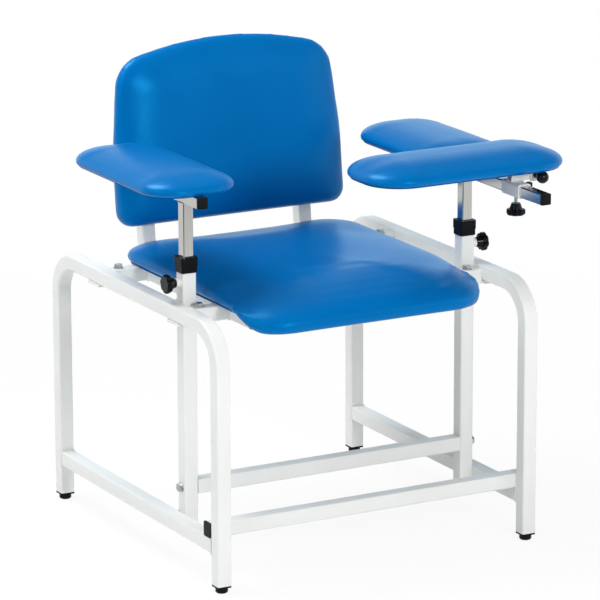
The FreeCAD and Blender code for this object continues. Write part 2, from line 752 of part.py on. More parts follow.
# Threaded bosses on the outer faces of the sleeves
boss = body("knob_boss", keep=False)
boss_ring = sketch(boss, "XY_Plane")
circle(boss_ring, "boss_round")
circle(boss_ring, "stud_round + 2 * stud_fit")
pad(boss, boss_ring, "boss_long")
copies("knob_bosses", boss, [
    ("sleeve_out + tube / 2", "-post_forward", "knob_height", TO_LEFT_HAND),
    ("-(sleeve_out + tube / 2)", "-post_forward", "knob_height", TO_RIGHT_HAND),
])


def inset_corners(corners, insets):
    """Move each side of a convex outline inward by its own distance; side n leaves corner n."""
    moved = []
    count = len(corners)
    for index in range(count):
        before, here, after = (corners[(index + step) % count] for step in (-1, 0, 1))
        arriving = (here - before).normalize()
        leaving = (after - here).normalize()
        inward_before = Vector(-arriving.y, arriving.x, 0)
        inward_after = Vector(-leaving.y, leaving.x, 0)
        together = inward_before.dot(inward_after)
        first, second = insets[index - 1], insets[index]
        step = inward_before * (first - together * second) + inward_after * (second - together * first)
        moved.append(here + step * (1 / (1 - together * together)))
    return moved


def soft_outline(corners, rounds, insets, up, leaning=0):
    """A closed wire of lines and arcs: the outline drawn in side by side, at a height.

    Each corner's round is how far from it, along both its sides, the full outline starts to turn.
    Leaning is how many degrees the wire tips down, away from the line y = 0.
    """
    inner = inset_corners(corners, insets)
    count = len(inner)
    arcs = []
    for index, corner in enumerate(inner):
        arriving = (corner - inner[index - 1]).normalize()
        leaving = (inner[(index + 1) % count] - corner).normalize()
        half_turn = arriving.getAngle(leaving) / 2
        drawn = (insets[index - 1] + insets[index]) / 2
        full_radius = rounds[index] / math.tan(half_turn)
        radius = max(full_radius - drawn, full_radius / 5)
        reach = radius * math.tan(half_turn)
        toward_middle = (leaving - arriving).normalize()
        crest = corner + toward_middle * (radius / math.cos(half_turn) - radius)
        lift = Vector(0, 0, up)
        arcs.append([corner - arriving * reach + lift, crest + lift, corner + leaving * reach + lift])
    edges = []
    for index, (start, crest, end) in enumerate(arcs):
        edges.append(Part.Arc(start, crest, end).toShape())
        edges.append(Part.LineSegment(end, arcs[(index + 1) % count][0]).toShape())
    outline = Part.Wire(edges)
    outline.rotate(Vector(0, 0, up), Vector(1, 0, 0), -leaning)
    return outline


# How a cushion's side goes from its bottom edge to its crown, as shares:
# of its thickness, of how far its bottom is drawn in, and of how far in its crown starts
seat_side_shares = ((0.0, 1.0, 0.0), (0.12, 0.4, 0.0), (0.36, 0.0, 0.0), (0.58, 0.0, 0.08), (0.76, 0.0, 0.25),
                    (0.92, 0.0, 0.6), (1.0, 0.0, 1.0))
pad_side_shares = (
    (0.0, 1.0, 0.0),
    (0.08, 0.4, 0.0),
    (0.24, 0.0, 0.0),
    (0.5, 0.0, 0.1),
    (0.74, 0.0, 0.3),
    (0.92, 0.0, 0.62),
    (1.0, 0.0, 1.0),
)


def cushion(label, corners, rounds, thick, side_shares, drawn_ins, crowns, board, board_in,
            leaning=0, lip=None):
    """A crowned cushion with drawn-in sides, wrapped round the edge of its board."""
    sections = []
    for high, drawn, crowned in side_shares:
        insets = [drawn * side + crowned * crown for side, crown in zip(drawn_ins, crowns)]
        sections.append(soft_outline(corners, rounds, insets, high * thick, high * leaning))
    full = Part.makeLoft(sections, True, False)
    if lip:
        full = full.fuse(lip)
    backing = Part.Face(soft_outline(corners, rounds, [board_in] * len(corners), 0))
    new = doc.addObject("Part::Feature", label)
    new.Label = label
    new.Shape = full.cut(backing.extrude(Vector(0, 0, board)))
    parts.append(new)
    return new


def arm_pad_cushion(label, wide, long, corner, thick):
    """A domed cushion for an arm pad, widest low down."""
    return cushion(label, oblong(wide, long), [corner] * 4, thick, pad_side_shares, [sheet.pad_drawn_in] * 4,
                   [sheet.pad_crown_inset] * 4, sheet.pad_board, sheet.pad_inset)


def oblong(wide, long):
    """The four corners of a rectangle about the origin."""
    return [Vector(x * wide / 2, y * long / 2, 0) for x, y in ((-1, -1), (1, -1), (1, 1), (-1, 1))]


def oblong_board(label, wide, long, corner, thick, inset, screw_spots):
    """A flat board with rounded corners, drilled for its screws."""
    new = body(label)
    drawing = sketch(new, "XY_Plane")
    rounded(drawing, f"{wide} - 2 * {inset}", f"{long} - 2 * {inset}", f"{corner} - {inset}")
    pad(new, drawing, thick)
    blind = sketch(new, "XY_Plane")
    for across, along in screw_spots:
        circle(blind, "screw_round", across, along)
    doc.recompute()
    holes = new.newObject("PartDesign::Pocket", f"{label}_holes")
    holes.Profile = blind
    holes.Reversed = True
    holes.Length = number("screw_bite")
    holes.setExpression("Length", linked("screw_bite"))
    return new


def screw_pattern(name, grip):
    """A pan-head screw: its head lies on z = 0 and the shank goes down through the grip."""
    new = body(name, keep=False)
    tip = f"-({grip} + screw_bite)"
    turned(new, [("0", tip), ("screw_round / 2", tip), ("screw_round / 2", "0"), ("screw_head_round / 2", "0"),
                 ("screw_head_round / 2", "screw_head / 2"), ("screw_head_round / 3", "screw_head"),
                 ("0", "screw_head")])
    return new


# Seat: a board on the cross and side tubes, its cushion, and screws up through the tubes
seat_middle = "upright_start + upright_run + upright_face - seat_to_upright - seat_depth / 2"
seat_screw_spots = [(f"{sign}side_out", f"{side_middle} + {along}") for sign in ("-", "")
                    for along in seat_screw_along]
seat_screw_spots += [(f"{sign}side_out", stub_middle) for sign in ("-", "")]
seat_board = oblong_board("seat_board", "seat_width", "seat_depth", "seat_corner", "board_thick", "board_inset",
                          [(across, f"{along} - ({seat_middle})") for across, along in seat_screw_spots])
place(seat_board, "0", seat_middle, "seat_under")
seat_corners = oblong(number("seat_width"), sheet.seat_depth)
seat_rounds = [sheet.seat_corner] * 4
# How the front lip goes: for each section, the share of its depth, and how far in the front and the sides are
lip_shares = ((0.0, 0.0, 0.0), (0.4, 0.1, 0.15), (0.75, 0.35, 0.5), (1.0, 1.0, 1.0))
seat_lip = Part.makeLoft([
    soft_outline(seat_corners, seat_rounds,
                 [front * sheet.lip_drawn_in] + [sheet.drawn_in + side * sheet.lip_side_in] * 3,
                 -down * sheet.lip_deep)
    for down, front, side in lip_shares], True, False)
lip_room = Part.makeBox(number("seat_width"), sheet.lip_back, sheet.lip_deep,
                        seat_corners[0] - Vector(0, 0, sheet.lip_deep))
seat_lip = seat_lip.common(lip_room)
seat_crowns = [sheet.front_crown_inset] + [sheet.crown_inset] * 3
seat_cushion = cushion("seat_cushion", seat_corners, seat_rounds, sheet.seat_thick, seat_side_shares,
                       [0] + [sheet.drawn_in] * 3, seat_crowns, sheet.board_thick, sheet.board_inset,
                       lip=seat_lip)
place(seat_cushion, "0", seat_middle, "seat_under")
tube_screw = screw_pattern("tube_screw", "tube")
copies("seat_screws", tube_screw, [(across, along, "seat_under - tube", UPSIDE_DOWN)
                                   for across, along in seat_screw_spots])

# Back: a shaped board on the uprights, its cushion, and screws from behind
back_foot, back_wide, back_top = (number(f"back_{name}width") for name in ("foot_", "", "top_"))
back_corners = [Vector(across / 2, up, 0) for across, up in (
    (-back_foot, 0), (back_foot, 0), (back_wide, sheet.back_widest),
    (back_top, sheet.back_shoulder), (0, sheet.back_peak),
    (-back_top, sheet.back_shoulder), (-back_wide, sheet.back_widest))]
back_rounds = [sheet.back_low_corner, sheet.back_low_corner, sheet.back_side_blend, sheet.back_high_corner,
               number("back_crown_blend"), sheet.back_high_corner, sheet.back_side_blend]
back_board = doc.addObject("Part::Feature", "back_board")
back_board.Label = "back_board"
back_plate = Part.Face(soft_outline(back_corners, back_rounds, [sheet.board_inset] * len(back_corners), 0))
back_plate = back_plate.extrude(Vector(0, 0, sheet.board_thick))
for across, height in ((x, y) for x in (-1, 1) for y in (sheet.back_screw_low, sheet.back_screw_high)):
    spot = Vector(across * number("upright_out"), height, 0)
    back_plate = back_plate.cut(Part.makeCylinder(sheet.screw_round / 2, sheet.screw_bite, spot))
back_board.Shape = back_plate
parts.append(back_board)
place(back_board, "0", "back_set", "back_bottom", FACING_FRONT)
back_leaning = math.degrees(math.atan((sheet.back_thick - sheet.back_top_thick) / sheet.back_peak))
back_cushion = cushion("back_cushion", back_corners, back_rounds, sheet.back_thick, seat_side_shares,
                       [sheet.drawn_in] * len(back_corners), [sheet.back_crown_inset] * len(back_corners),
                       sheet.board_thick, sheet.board_inset, leaning=back_leaning)
place(back_cushion, "0", "back_set", "back_bottom", FACING_FRONT)
copies("back_screws", tube_screw, back_screw_spots)

# Caps that close the ends of the bars
bar_cap = body("bar_cap", keep=False)
bar_cap_face = sketch(bar_cap, "XY_Plane")
rounded(bar_cap_face, "post_tube", "post_tube", "post_corner")
pad(bar_cap, bar_cap_face, "cap_thick")
bar_cap_stem = sketch(bar_cap, "XY_Plane")
rounded(bar_cap_stem, "post_bore - fit", "post_bore - fit", "post_corner - post_wall")
pad(bar_cap, bar_cap_stem, "cap_plug", reverse=True)

# Arms: a post in each sleeve, a bar across its top, and an upholstered pad screwed to the bar
bar_screw = screw_pattern("bar_screw", "post_tube")
for hand, sign in (("left", "-"), ("right", "")):
    under = f"{hand}_bar_under"
    post = post_tubing(f"arm_post_{hand}", "XY_Plane", f"{under} - post_foot")
    place(post, f"{sign}sleeve_out", "-post_forward", f"({under} + post_foot) / 2")
    bar_height = f"{under} + post_tube / 2"
    bar_middle = f"({hand}_bar_rear - {hand}_bar_front) / 2"
    bar = post_tubing(f"arm_bar_{hand}", "XZ_Plane", f"{hand}_bar_front + {hand}_bar_rear - 2 * cap_thick")
    screw_along = [f"-{hand}_pad_forward + {end}{hand}_screws_apart / 2" for end in ("", "-")]
    drill(bar, "XY_Plane", "screw_round", [("0", f"{along} - {bar_middle}") for along in screw_along])
    place(bar, f"{sign}sleeve_out", bar_middle, bar_height)
    copies(f"bar_caps_{hand}", bar_cap, [
        (f"{sign}sleeve_out", f"-({hand}_bar_front - cap_thick)", bar_height, TO_FRONT),
        (f"{sign}sleeve_out", f"{hand}_bar_rear - cap_thick", bar_height, TO_REAR),
    ])
    off_middle = f"{sign}(sleeve_out - {hand}_pad_out)"
    board = oblong_board(f"arm_board_{hand}", "pad_width", f"{hand}_pad_length", "pad_corner",
                         "pad_board", "pad_inset",
                         [(off_middle, f"{end}{hand}_screws_apart / 2") for end in ("", "-")])
    place(board, f"{sign}{hand}_pad_out", f"-{hand}_pad_forward", f"{hand}_bar_top")
    arm_cushion = arm_pad_cushion(f"arm_cushion_{hand}", sheet.pad_width, number(f"{hand}_pad_length"),
                                  sheet.pad_corner, sheet.pad_thick)
    place(arm_cushion, f"{sign}{hand}_pad_out", f"-{hand}_pad_forward", f"{hand}_bar_top")
    copies(f"arm_screws_{hand}", bar_screw, [(f"{sign}sleeve_out", along, under, UPSIDE_DOWN)
                                             for along in screw_along])


def star_knob(label, stud_round):
    """A fluted clamping knob: its hub starts at z = 0 and its disc faces +Z."""
    new = body(label)
    disc_top = "knob_hub + knob_disc"
    turned(new, [(f"{stud_round} / 2", "0"), ("knob_hub_round / 2", "0"),
                 ("knob_round / 2 - knob_flute", "knob_hub"), ("knob_round / 2 - knob_edge", "knob_hub"),
                 ("knob_round / 2", "knob_hub + knob_edge"), ("knob_round / 2", f"{disc_top} - knob_edge"),
                 ("knob_round / 2 - knob_edge", disc_top), ("0", disc_top), ("0", "stud_in_knob"),
                 (f"{stud_round} / 2", "stud_in_knob")])
    flute = sketch(new, "XY_Plane")
    circle(flute, "2 * knob_flute", "knob_round / 2 + knob_flute / 3")
    groove = cut(new, flute)
    around = new.newObject("PartDesign::PolarPattern", f"{label}_flutes")
    around.Originals = [groove]
    around.Axis = (origin_of(new, "Z_Axis"), [""])
    around.Angle = 360
    around.Occurrences = knob_flutes
    new.Tip = around
    return new


# Clamping knobs that press their studs against the posts
for hand, sign, outward in (("left", "-", TO_RIGHT_HAND), ("right", "", TO_LEFT_HAND)):
    knob = star_knob(f"star_knob_{hand}", "stud_round")
    place(knob, f"{sign}(knob_face + stud_gap)", "-post_forward", "knob_height", outward)
    stud_back = "boss_long + tube / 2 - post_tube / 2"
    stud = rod(f"knob_stud_{hand}", "stud_round", f"stud_in_knob + {stud_back}")
    place(stud, f"{sign}(knob_face + stud_gap - ({stud_back}))", "-post_forward", "knob_height", outward)

# Carrier: a box sleeve that slides on the right bar, and its knob and stud from below
carrier = square_tube("carrier", "XZ_Plane", "carrier_side", "carrier_wall",
                      "post_corner + running_fit + carrier_wall", "carrier_length")
stud_hole = sketch(carrier, "XY_Plane")
circle(stud_hole, "carrier_stud_round + 2 * stud_fit")
doc.recompute()
lower_hole = carrier.newObject("PartDesign::Pocket", "carrier_stud_hole")
lower_hole.Profile = stud_hole
lower_hole.Type = "ThroughAll"
place(carrier, "sleeve_out", "-carrier_forward", "right_bar_height")
carrier_knob = star_knob("carrier_knob", "carrier_stud_round")
place(carrier_knob, "sleeve_out", "-carrier_forward", "carrier_under - carrier_stud_show", UPSIDE_DOWN)
stud_up = "carrier_stud_show + carrier_wall + running_fit - stud_gap"
carrier_stud = rod("carrier_stud", "carrier_stud_round", f"stud_in_knob + {stud_up}")
place(carrier_stud, "sleeve_out", "-carrier_forward", "carrier_under - carrier_stud_show - stud_in_knob")

# Hinge tube on the carrier, and the bolt across it
hinge_span = "hinge_out + hinge_end - hinge_tube_start"
hinge_middle = "(hinge_out + hinge_end + hinge_tube_start) / 2"
hinge_bar = square_tube("hinge_tube", "YZ_Plane", "hinge_tube", "post_wall", "post_corner", hinge_span)
drill(hinge_bar, "XZ_Plane", "hinge_bolt_round", [(f"hinge_out - {hinge_middle}", "0")])
place(hinge_bar, hinge_middle, "-hinge_tube_forward", "hinge_height")
ear_out = "ear_set + ear_thick + hinge_play"
hinge_bolt = body("hinge_bolt")
turned(hinge_bolt, [("0", f"-({ear_out} + hinge_head)"), ("hinge_head_round / 2", f"-({ear_out} + hinge_head)"),
                    ("hinge_head_round / 2", f"-({ear_out})"), ("hinge_bolt_round / 2", f"-({ear_out})"),
                    ("hinge_bolt_round / 2", f"{ear_out} + ball_reach"), ("0", f"{ear_out} + ball_reach")])
place(hinge_bolt, "hinge_out", "-hinge_tube_forward", "hinge_height", TO_FRONT)

# Ball knob that tightens the hinge from the front
ball = doc.addObject("Part::Sphere", "ball")
ball.setExpression("Radius", linked("ball_round / 2"))
place(ball, "0", "0", "ball_reach")
neck = rod("ball_neck", "ball_neck_round", "ball_reach", keep=False)
knob_core = doc.addObject("Part::Fuse", "ball_and_neck")
knob_core.Base = ball
knob_core.Tool = neck
bore = rod("ball_bore", "hinge_bolt_round + 2 * hinge_bolt_fit", "ball_reach + hinge_play", keep=False)
ball_knob = without("ball_knob", knob_core, [bore])
place(ball_knob, "hinge_out", f"-(hinge_tube_forward + {ear_out})", "hinge_height", TO_FRONT)

# Rubber bumpers: a round one under the flip board and a square one on the carrier's side
rest = rod("rest_bumper", "bumper_round", "flip_board_lift - stud_gap", keep=False)
place(rest, "hinge_tube_start + bumper_round", "-hinge_tube_forward", "carrier_top + hinge_tube")
block = doc.addObject("Part::Box", "side_bumper")
for side, text in (("Length", "bumper_wide"), ("Width", "bumper_long"), ("Height", "bumper_high")):
    block.setExpression(side, linked(text))
place(block, "sleeve_out + carrier_side / 2", "-bumper_forward - bumper_long / 2", "carrier_top - bumper_high")
bumpers = doc.addObject("Part::Compound", "bumpers")
bumpers.Label = "bumpers"
bumpers.Links = [rest, block]
parts.append(bumpers)

# Hinge ears under the flip board: two angle brackets that turn on the bolt
ear = body("hinge_ear", keep=False)
ear_top = "flip_under - hinge_height"
ear_side = sketch(ear, "YZ_Plane")
polygon(ear_side, [("ear_set", "-ear_low"), ("ear_set + ear_thick", "-ear_low"),
                   ("ear_set + ear_thick", ear_top), ("ear_set", ear_top)])
pad(ear, ear_side, "ear_width", "Symmetric")
drill(ear, "XZ_Plane", "hinge_bolt_round + 2 * hinge_bolt_fit", [("0", "0")])
flange_side = sketch(ear, "YZ_Plane")
polygon(flange_side, [("ear_set", f"{ear_top} - ear_thick"), ("ear_set + ear_flange", f"{ear_top} - ear_thick"),
                      ("ear_set + ear_flange", ear_top), ("ear_set", ear_top)])
pad(ear, flange_side, "ear_flange_long", "Symmetric")
ear_screw_set = "ear_set + ear_flange * 3 / 5"
drill(ear, "XY_Plane", "screw_round", [(f"{sign}ear_screws_apart / 2", ear_screw_set) for sign in ("", "-")])
copies("flip_ears", ear, [("hinge_out", "-hinge_tube_forward", "hinge_height", turn)
                          for turn in (None, HALF_TURN)])

# The flip-up pad: board, cushion and screws
hinge_across = "hinge_out - flip_middle"
hinge_along = "flip_forward - hinge_tube_forward"
ear_screws = [(f"{hinge_across} + {side}ear_screws_apart / 2", f"{hinge_along} + {end}({ear_screw_set})")
              for side in ("", "-") for end in ("", "-")]
flip_board = oblong_board("flip_board", "flip_length", "flip_width", "flip_corner", "pad_board", "pad_inset",
                          ear_screws)
place(flip_board, "flip_middle", "-flip_forward", "flip_under")
flip_cushion = arm_pad_cushion("flip_cushion", sheet.flip_length, sheet.flip_width,
                               sheet.flip_corner, sheet.flip_thick)
place(flip_cushion, "flip_middle", "-flip_forward", "flip_under")
copies("flip_screws", screw_pattern("ear_screw", "ear_thick"), [
    (f"{across} + flip_middle", f"{along} - flip_forward", "flip_under - ear_thick", UPSIDE_DOWN)
    for across, along in ear_screws
])

doc.recompute()
for piece in doc.Objects:
    if {"Invalid", "Error"} & set(piece.State):
        raise RuntimeError(f"{piece.Name} did not rebuild: {piece.State}")
for piece in parts:
    if piece.Shape.isNull() or not piece.Shape.isValid():
        raise RuntimeError(f"{piece.Label} has no sound shape")

os.makedirs("parts", exist_ok=True)
for piece in parts:
    piece.Shape.exportStep(f"parts/{piece.Label}.step")
    print(piece.Label, len(piece.Shape.Solids), round(piece.Shape.Volume))
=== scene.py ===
import json
import math

import bmesh
import bpy
import numpy as np
from mathutils import Matrix, Vector


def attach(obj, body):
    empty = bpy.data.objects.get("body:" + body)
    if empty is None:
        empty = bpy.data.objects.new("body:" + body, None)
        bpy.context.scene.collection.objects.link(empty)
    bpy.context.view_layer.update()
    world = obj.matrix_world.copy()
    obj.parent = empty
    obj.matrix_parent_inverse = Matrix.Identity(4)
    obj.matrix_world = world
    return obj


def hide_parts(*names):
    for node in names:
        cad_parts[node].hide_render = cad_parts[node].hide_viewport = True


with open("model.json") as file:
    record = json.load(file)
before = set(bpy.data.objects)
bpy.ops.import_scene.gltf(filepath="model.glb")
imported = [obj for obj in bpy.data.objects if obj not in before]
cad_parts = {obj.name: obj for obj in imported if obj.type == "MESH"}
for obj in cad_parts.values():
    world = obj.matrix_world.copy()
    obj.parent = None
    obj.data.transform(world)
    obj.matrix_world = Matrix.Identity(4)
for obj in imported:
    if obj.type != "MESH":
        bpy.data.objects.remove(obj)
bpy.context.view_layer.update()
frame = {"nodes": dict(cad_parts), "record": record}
nodes = frame["nodes"]
scene = bpy.context.scene


# Studio: a pale sweep of floor under soft light, white where the camera looks past the chair.
# The chair's own soft shadow stays on the floor. Glossy faces see a bright wall behind the chair,
# dark above it, and a floor that goes dark towards the camera.
FLOOR_HALF = 7.0
FLOOR_WHITE = 0.9
FLOOR_WHITE_FROM, FLOOR_WHITE_TO = 0.6, 2.2
FLOOR_MIRROR_FROM, FLOOR_MIRROR_TO = -2.6, -1.5
WALL_LEVEL, ROOM_LEVEL, SOFT_LEVEL = 1.3, 0.34, 0.42
WALL_TOP_FROM, WALL_TOP_TO, ABOVE_WALL = 0.3, 0.52, 0.14
WALL_TINT = (0.6, 0.83, 1, 1)
BEHIND = (0.479, 0.878, 0.0)


def wire(tree, kind, settings=None, **sockets):
    """Add a shader or geometry node; a socket is named, or _0, _1 for its place, and set or linked."""
    new = tree.nodes.new(kind)
    for name, value in (settings or {}).items():
        setattr(new, name, value)
    for name, value in sockets.items():
        socket = new.inputs[int(name[1:])] if name[0] == "_" else new.inputs[name.replace("_", " ")]
        if isinstance(value, bpy.types.NodeSocket):
            tree.links.new(value, socket)
        else:
            socket.default_value = value
    return new


def new_material(label):
    """A material with an empty node tree."""
    made = bpy.data.materials.new(label)
    made.use_nodes = True
    made.node_tree.nodes.clear()
    return made, made.node_tree


def seen_white(tree):
    """1 for rays that come from the camera or through a clear surface."""
    rays = wire(tree, "ShaderNodeLightPath").outputs
    return wire(tree, "ShaderNodeMath", {"operation": "MAXIMUM"},
                _0=rays["Is Camera Ray"], _1=rays["Is Transmission Ray"]).outputs[0]


def eased(tree, value, start, end, low=0.0, high=1.0):
    """A value's smooth passage from low to high between two places."""
    return wire(tree, "ShaderNodeMapRange", {"interpolation_type": "SMOOTHSTEP"}, Value=value,
                From_Min=start, From_Max=end, To_Min=low, To_Max=high).outputs["Result"]


floor_mesh = bpy.data.meshes.new("floor")
floor_mesh.from_pydata(
    [(x * FLOOR_HALF, y * FLOOR_HALF, 0) for x, y in ((-1, -1), (1, -1), (1, 1), (-1, 1))],
    [], [(0, 1, 2, 3)])
floor = bpy.data.objects.new("floor", floor_mesh)
scene.collection.objects.link(floor)
floor_paint, tree = new_material("floor_paint")
spot = wire(tree, "ShaderNodeTexCoord").outputs["Object"]
far = wire(tree, "ShaderNodeVectorMath", {"operation": "LENGTH"}, _0=spot).outputs["Value"]
fade = eased(tree, far, FLOOR_WHITE_FROM, FLOOR_WHITE_TO, FLOOR_WHITE, 1.0)
share = wire(tree, "ShaderNodeMath", {"operation": "MULTIPLY"}, _0=fade, _1=seen_white(tree)).outputs[0]
grit = wire(tree, "ShaderNodeTexNoise", Vector=spot, Scale=3.0, Detail=2.0).outputs["Fac"]
tint = wire(tree, "ShaderNodeMapRange", Value=grit, To_Min=0.88, To_Max=0.92).outputs["Result"]
matte = wire(tree, "ShaderNodeBsdfDiffuse", Color=tint).outputs[0]
away = wire(tree, "ShaderNodeVectorMath", {"operation": "DOT_PRODUCT"}, _0=spot, _1=BEHIND).outputs["Value"]
mirrored = eased(tree, away, FLOOR_MIRROR_FROM, FLOOR_MIRROR_TO, 0.03, 0.85)
dimmed = wire(tree, "ShaderNodeEmission", Strength=mirrored).outputs[0]
glossy = wire(tree, "ShaderNodeLightPath").outputs["Is Glossy Ray"]
lit = wire(tree, "ShaderNodeMixShader", Fac=glossy, _1=matte, _2=dimmed).outputs[0]
white = wire(tree, "ShaderNodeEmission", Strength=1.0).outputs[0]
mixed = wire(tree, "ShaderNodeMixShader", Fac=share, _1=lit, _2=white).outputs[0]
wire(tree, "ShaderNodeOutputMaterial", Surface=mixed)
floor_mesh.materials.append(floor_paint)

world = bpy.data.worlds.new("studio")
world.use_nodes = True
scene.world = world
tree = world.node_tree
tree.nodes.clear()
toward = wire(tree, "ShaderNodeTexCoord").outputs["Generated"]
behind = wire(tree, "ShaderNodeVectorMath", {"operation": "DOT_PRODUCT"}, _0=toward,
              _1=BEHIND).outputs["Value"]
wall = eased(tree, behind, -0.3, 0.5, ROOM_LEVEL, WALL_LEVEL)
height = wire(tree, "ShaderNodeSeparateXYZ", _0=toward).outputs["Z"]
low = eased(tree, height, WALL_TOP_FROM, WALL_TOP_TO, 1.0, ABOVE_WALL)
wall = wire(tree, "ShaderNodeMath", {"operation": "MULTIPLY"}, _0=wall, _1=low).outputs[0]
glossy = wire(tree, "ShaderNodeLightPath").outputs["Is Glossy Ray"]
soft = wire(tree, "ShaderNodeMix", {"data_type": "FLOAT"}, Factor=glossy, A=SOFT_LEVEL, B=wall).outputs[0]
level = wire(tree, "ShaderNodeMix", {"data_type": "FLOAT"}, Factor=seen_white(tree), A=soft, B=1.0).outputs[0]
tint = wire(tree, "ShaderNodeMix", {"data_type": "RGBA"}, _0=glossy, _6=(1, 1, 1, 1), _7=WALL_TINT).outputs[2]
sky = wire(tree, "ShaderNodeBackground", Color=tint, Strength=level).outputs[0]
wire(tree, "ShaderNodeOutputWorld", Surface=sky)

for label, place, aim, wide, power in (
    ("key_light", (0.1, -3.4, 1.6), (0, 0, 0.55), 0.7, 50),
    ("side_light", (-3.0, -0.9, 1.9), (0, 0, 0.45), 1.8, 22),
    ("fill_light", (2.6, -2.4, 1.4), (0, 0, 0.45), 2.0, 15),
    ("top_light", (-0.9, 0.7, 2.6), (0, -0.05, 0.6), 1.2, 50),
):
    lamp = bpy.data.lights.new(label, "AREA")
    lamp.shape = "SQUARE"
    lamp.size = wide
    lamp.energy = power
    lamp_object = bpy.data.objects.new(label, lamp)
    lamp_object.location = place
    lamp_object.rotation_euler = (Vector(aim) - Vector(place)).to_track_quat("-Z", "Y").to_euler()
    lamp_object.visible_camera = False
    scene.collection.objects.link(lamp_object)

CAMERA_PLACE = (-3.27015, -6.02485, 2.17776)
CAMERA_TURN, CAMERA_DOWN, CAMERA_ROLL = (math.radians(angle) for angle in (-28.623, 14.611, -0.16))
camera_data = bpy.data.cameras.new("camera")
camera_data.lens = 248.36
camera_data.sensor_width = 36.0
camera = bpy.data.objects.new("camera", camera_data)
camera.matrix_world = (
    Matrix.Translation(CAMERA_PLACE) @ Matrix.Rotation(CAMERA_TURN, 4, "Z")
    @ Matrix.Rotation(math.pi / 2 - CAMERA_DOWN, 4, "X") @ Matrix.Rotation(CAMERA_ROLL, 4, "Z")
)
scene.collection.objects.link(camera)
scene.camera = camera
scene.view_settings.view_transform = "Standard"


# White frame: bent and straight square steel tubes, welded, then powder coated in one go.
# The coat is smooth with a faint orange peel, a little thinner and duller in places.
def make_group(label, inputs, outputs):
    """An empty shader node group with named sockets, and its two ends."""
    group = bpy.data.node_groups.new(label, "ShaderNodeTree")
    for name, kind, value in inputs:
        group.interface.new_socket(name, in_out="INPUT", socket_type=kind).default_value = value
    for name, kind in outputs:
        group.interface.new_socket(name, in_out="OUTPUT", socket_type=kind)
    return group, group.nodes.new("NodeGroupInput").outputs, group.nodes.new("NodeGroupOutput").inputs


GREY = (0.5, 0.5, 0.5, 1)
mottled, ends_in, ends_out = make_group(
    "mottled_finish",
    (("Colour", "NodeSocketColor", GREY), ("Worn Colour", "NodeSocketColor", GREY),
     ("Patch Scale", "NodeSocketFloat", 8.0), ("Roughness", "NodeSocketFloat", 0.4),
     ("Roughness Spread", "NodeSocketFloat", 0.1), ("Grain Scale", "NodeSocketFloat", 600.0)),
    (("Colour", "NodeSocketColor"), ("Roughness", "NodeSocketFloat"), ("Height", "NodeSocketFloat")))
spot = wire(mottled, "ShaderNodeTexCoord").outputs["Object"]
patch = wire(mottled, "ShaderNodeTexNoise", Vector=spot, Scale=ends_in["Patch Scale"], Detail=4.0).outputs["Fac"]
patch = eased(mottled, patch, 0.35, 0.7)
blend = wire(mottled, "ShaderNodeMix", {"data_type": "RGBA"}, Factor=patch, _6=ends_in["Colour"],
             _7=ends_in["Worn Colour"]).outputs[2]
rough = wire(mottled, "ShaderNodeMath", {"operation": "MULTIPLY_ADD"}, _0=patch,
             _1=ends_in["Roughness Spread"], _2=ends_in["Roughness"]).outputs[0]
grain = wire(mottled, "ShaderNodeTexNoise", Vector=spot, Scale=ends_in["Grain Scale"], Detail=2.0).outputs["Fac"]
for name, made in (("Colour", blend), ("Roughness", rough), ("Height", grain)):
    mottled.links.new(made, ends_out[name])


def finish(label, group_values, metallic=0.0, bump=0.1, depth=0.0002, specular=0.5):
    """A material whose colour, roughness and fine relief come from the mottled finish."""
    made, tree = new_material(label)
    look = wire(tree, "ShaderNodeGroup", {"node_tree": mottled}, **group_values).outputs
    normal = wire(tree, "ShaderNodeBump", Height=look["Height"], Strength=bump, Distance=depth).outputs[0]
    skin = wire(tree, "ShaderNodeBsdfPrincipled", Base_Color=look["Colour"], Roughness=look["Roughness"],
                Normal=normal, Metallic=metallic, IOR=1.5, Specular_IOR_Level=specular).outputs[0]
    wire(tree, "ShaderNodeOutputMaterial", Surface=skin)
    return made


def in_slot(slot):
    """The CAD nodes of one material slot."""
    return [part["node"] for part in frame["record"]["subparts"] if part["material_slot"] == slot]


def dress(material, names):
    """Give CAD nodes their material, in every slot they have."""
    for name in names:
        mesh = nodes[name].data
        if not mesh.materials:
            mesh.materials.append(material)
        for index in range(len(mesh.materials)):
            mesh.materials[index] = material


powder_coat = finish("powder_coat", dict(
    Colour=(0.77, 0.785, 0.77, 1), Worn_Colour=(0.74, 0.76, 0.74, 1), Patch_Scale=7.0,
    Roughness=0.3, Roughness_Spread=0.1, Grain_Scale=420.0), bump=0.12)
dress(powder_coat, in_slot("white_powder_coat"))


# Posts and bars: drawn square steel tube, polished and chromed. Fine draw lines run along it,
# and the chrome is a shade less bright between them.
LINES_ACROSS, LINES_ALONG = 900, 12


